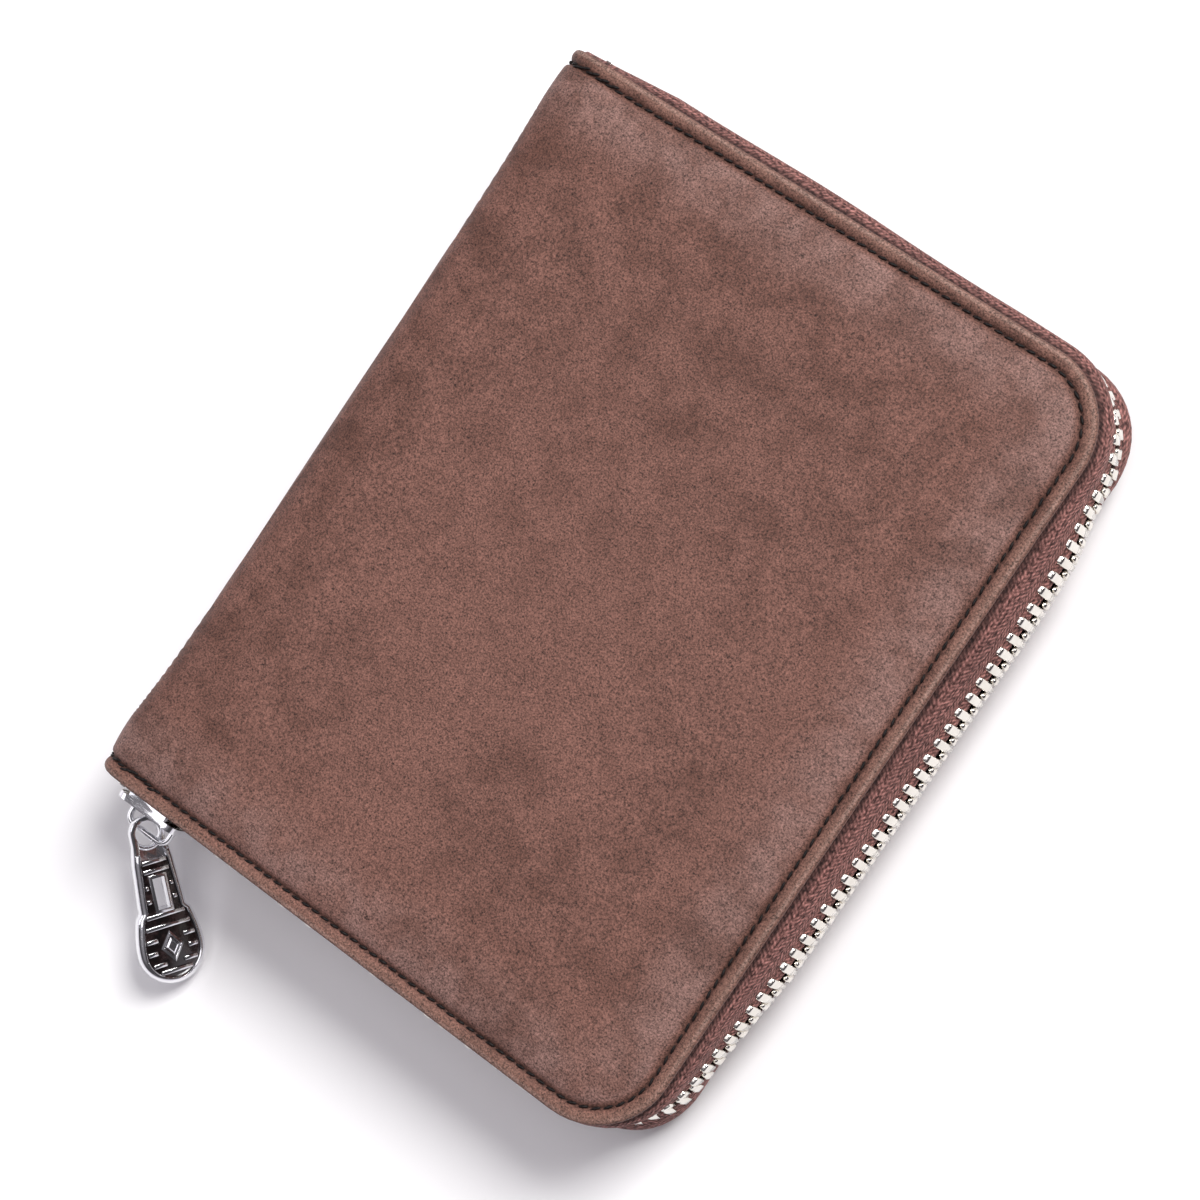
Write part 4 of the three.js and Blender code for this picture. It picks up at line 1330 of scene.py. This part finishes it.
pocketRows = []
for name in ("bill_pocket", "card_slot_1", "card_slot_2", "card_slot_3", "card_slot_4"):
    low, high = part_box(name)
    y = high.y - pocketSeam["inset"] * mm
    ends = pocketSeam["ends"] * mm
    pocketRows.append((Vector((low.x + ends, y, high.z)), Vector((high.x - ends, y, high.z))))
finishWith(sewRows("card_pocket_stitches", pocketRows, 21), thread, "back_half", "thread")
low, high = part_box("coin_pocket_panel")
low, high = low + Vector((2, 2, 0)) * mm, high - Vector((2, 2, 0)) * mm
short = 5 * mm  # the rows stop before the panel's corners
finishWith(sewRows("coin_pocket_stitches", [
    (Vector((x1, y1, low.z)), Vector((x2, y2, low.z))) for x1, y1, x2, y2 in (
        (low.x + short, low.y, high.x - short, low.y), (high.x, low.y + short, high.x, high.y - short),
        (high.x - short, high.y, low.x + short, high.y), (low.x, high.y - short, low.x, low.y + short),
    )
], 22), thread, "front_half", "thread")

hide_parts("front_cover", "front_padding", "front_board", "spine_cover")
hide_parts("back_cover", "back_padding", "back_board")
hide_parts("front_seam_thread")
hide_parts("back_seam_thread")
# the leather and seams carry their placing in their meshes
for piece in (frontLeather, frontSeam):
    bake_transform(piece)
for piece in (backLeather, backSeam):
    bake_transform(piece)
print("linings and pockets made")


floorPiece = added("floor", bpy.ops.mesh.primitive_plane_add, size=6, location=(0, 0, floorHeight))
floorPiece.data.materials.append(newMaterial("paleFloor", {
    "Base Color": (0.97, 0.965, 0.98, 1), "Roughness": 0.9, "Specular IOR Level": 0.1,
})[0])

lights = [
    # name, place, size, power, color
    ("keyLight", (0.26, 0.78, 1.00), 0.52, 17.5, (1, 0.99, 0.97)),
    ("topLight", (-0.10, -0.05, 1.10), 0.8, 2.7, (1, 0.975, 1)),
    ("fillLight", (-0.80, -0.30, 0.50), 0.5, 1.3, (0.96, 0.95, 1)),
]
for name, place, size, power, color in lights:
    lamp = bpy.data.lights.new(name, "AREA")
    lamp.shape = "SQUARE"
    lamp.size = size
    lamp.energy = power
    lamp.color = color
    holder = bpy.data.objects.new(name, lamp)
    holder.location = place
    holder.rotation_mode = "QUATERNION"
    holder.rotation_quaternion = (Vector((0, 0, 0.01)) - Vector(place)).to_track_quat("-Z", "Y")
    bpy.context.scene.collection.objects.link(holder)

world = bpy.data.worlds.new("studio")
bpy.context.scene.world = world
world.use_nodes = True
skyTree = world.node_tree
skyTree.nodes["Background"].inputs[0].default_value = (0.97, 0.92, 1.0, 1)
# bright walls low down, a dark band above them and a soft ceiling
rise = node(skyTree, "SeparateXYZ", None, {0: node(skyTree, "TexCoord").outputs["Generated"]}).outputs[2]
walls, ceiling = remap(skyTree, rise, 0.16, 0.34, 0.9, 0.07), remap(skyTree, rise, 0.6, 0.95, 0.0, 0.22)
glow = calc(skyTree, "ADD", walls, ceiling)
skyTree.links.new(glow, skyTree.nodes["Background"].inputs[1])

view = {
    "tiltX": 0.33585314, "tiltY": 0.0568297479, "roll": 0.5884203107961, "place": (146.525458, 23.62555, 451.702550),
    "lens": 102,
}
cameraData = bpy.data.cameras.new("camera")
cameraData.lens = view["lens"]
cameraData.sensor_width = 36
cameraData.clip_start = 0.01
cameraData.clip_end = 50
camera = bpy.data.objects.new("camera", cameraData)
back = Vector((view["tiltX"], view["tiltY"], 1)).normalized()
right = Vector((0, 1, 0)).cross(back).normalized()
up = back.cross(right)
rollCos, rollSin = math.cos(view["roll"]), math.sin(view["roll"])
camera.matrix_world = Matrix.Translation(Vector(view["place"]) * mm) @ Matrix((
    rollCos * right + rollSin * up, -rollSin * right + rollCos * up, back,
)).transposed().to_4x4()
bpy.context.scene.collection.objects.link(camera)
bpy.context.scene.camera = camera
bpy.context.scene.view_settings.view_transform = "Standard"
print("floor, lights and camera set")
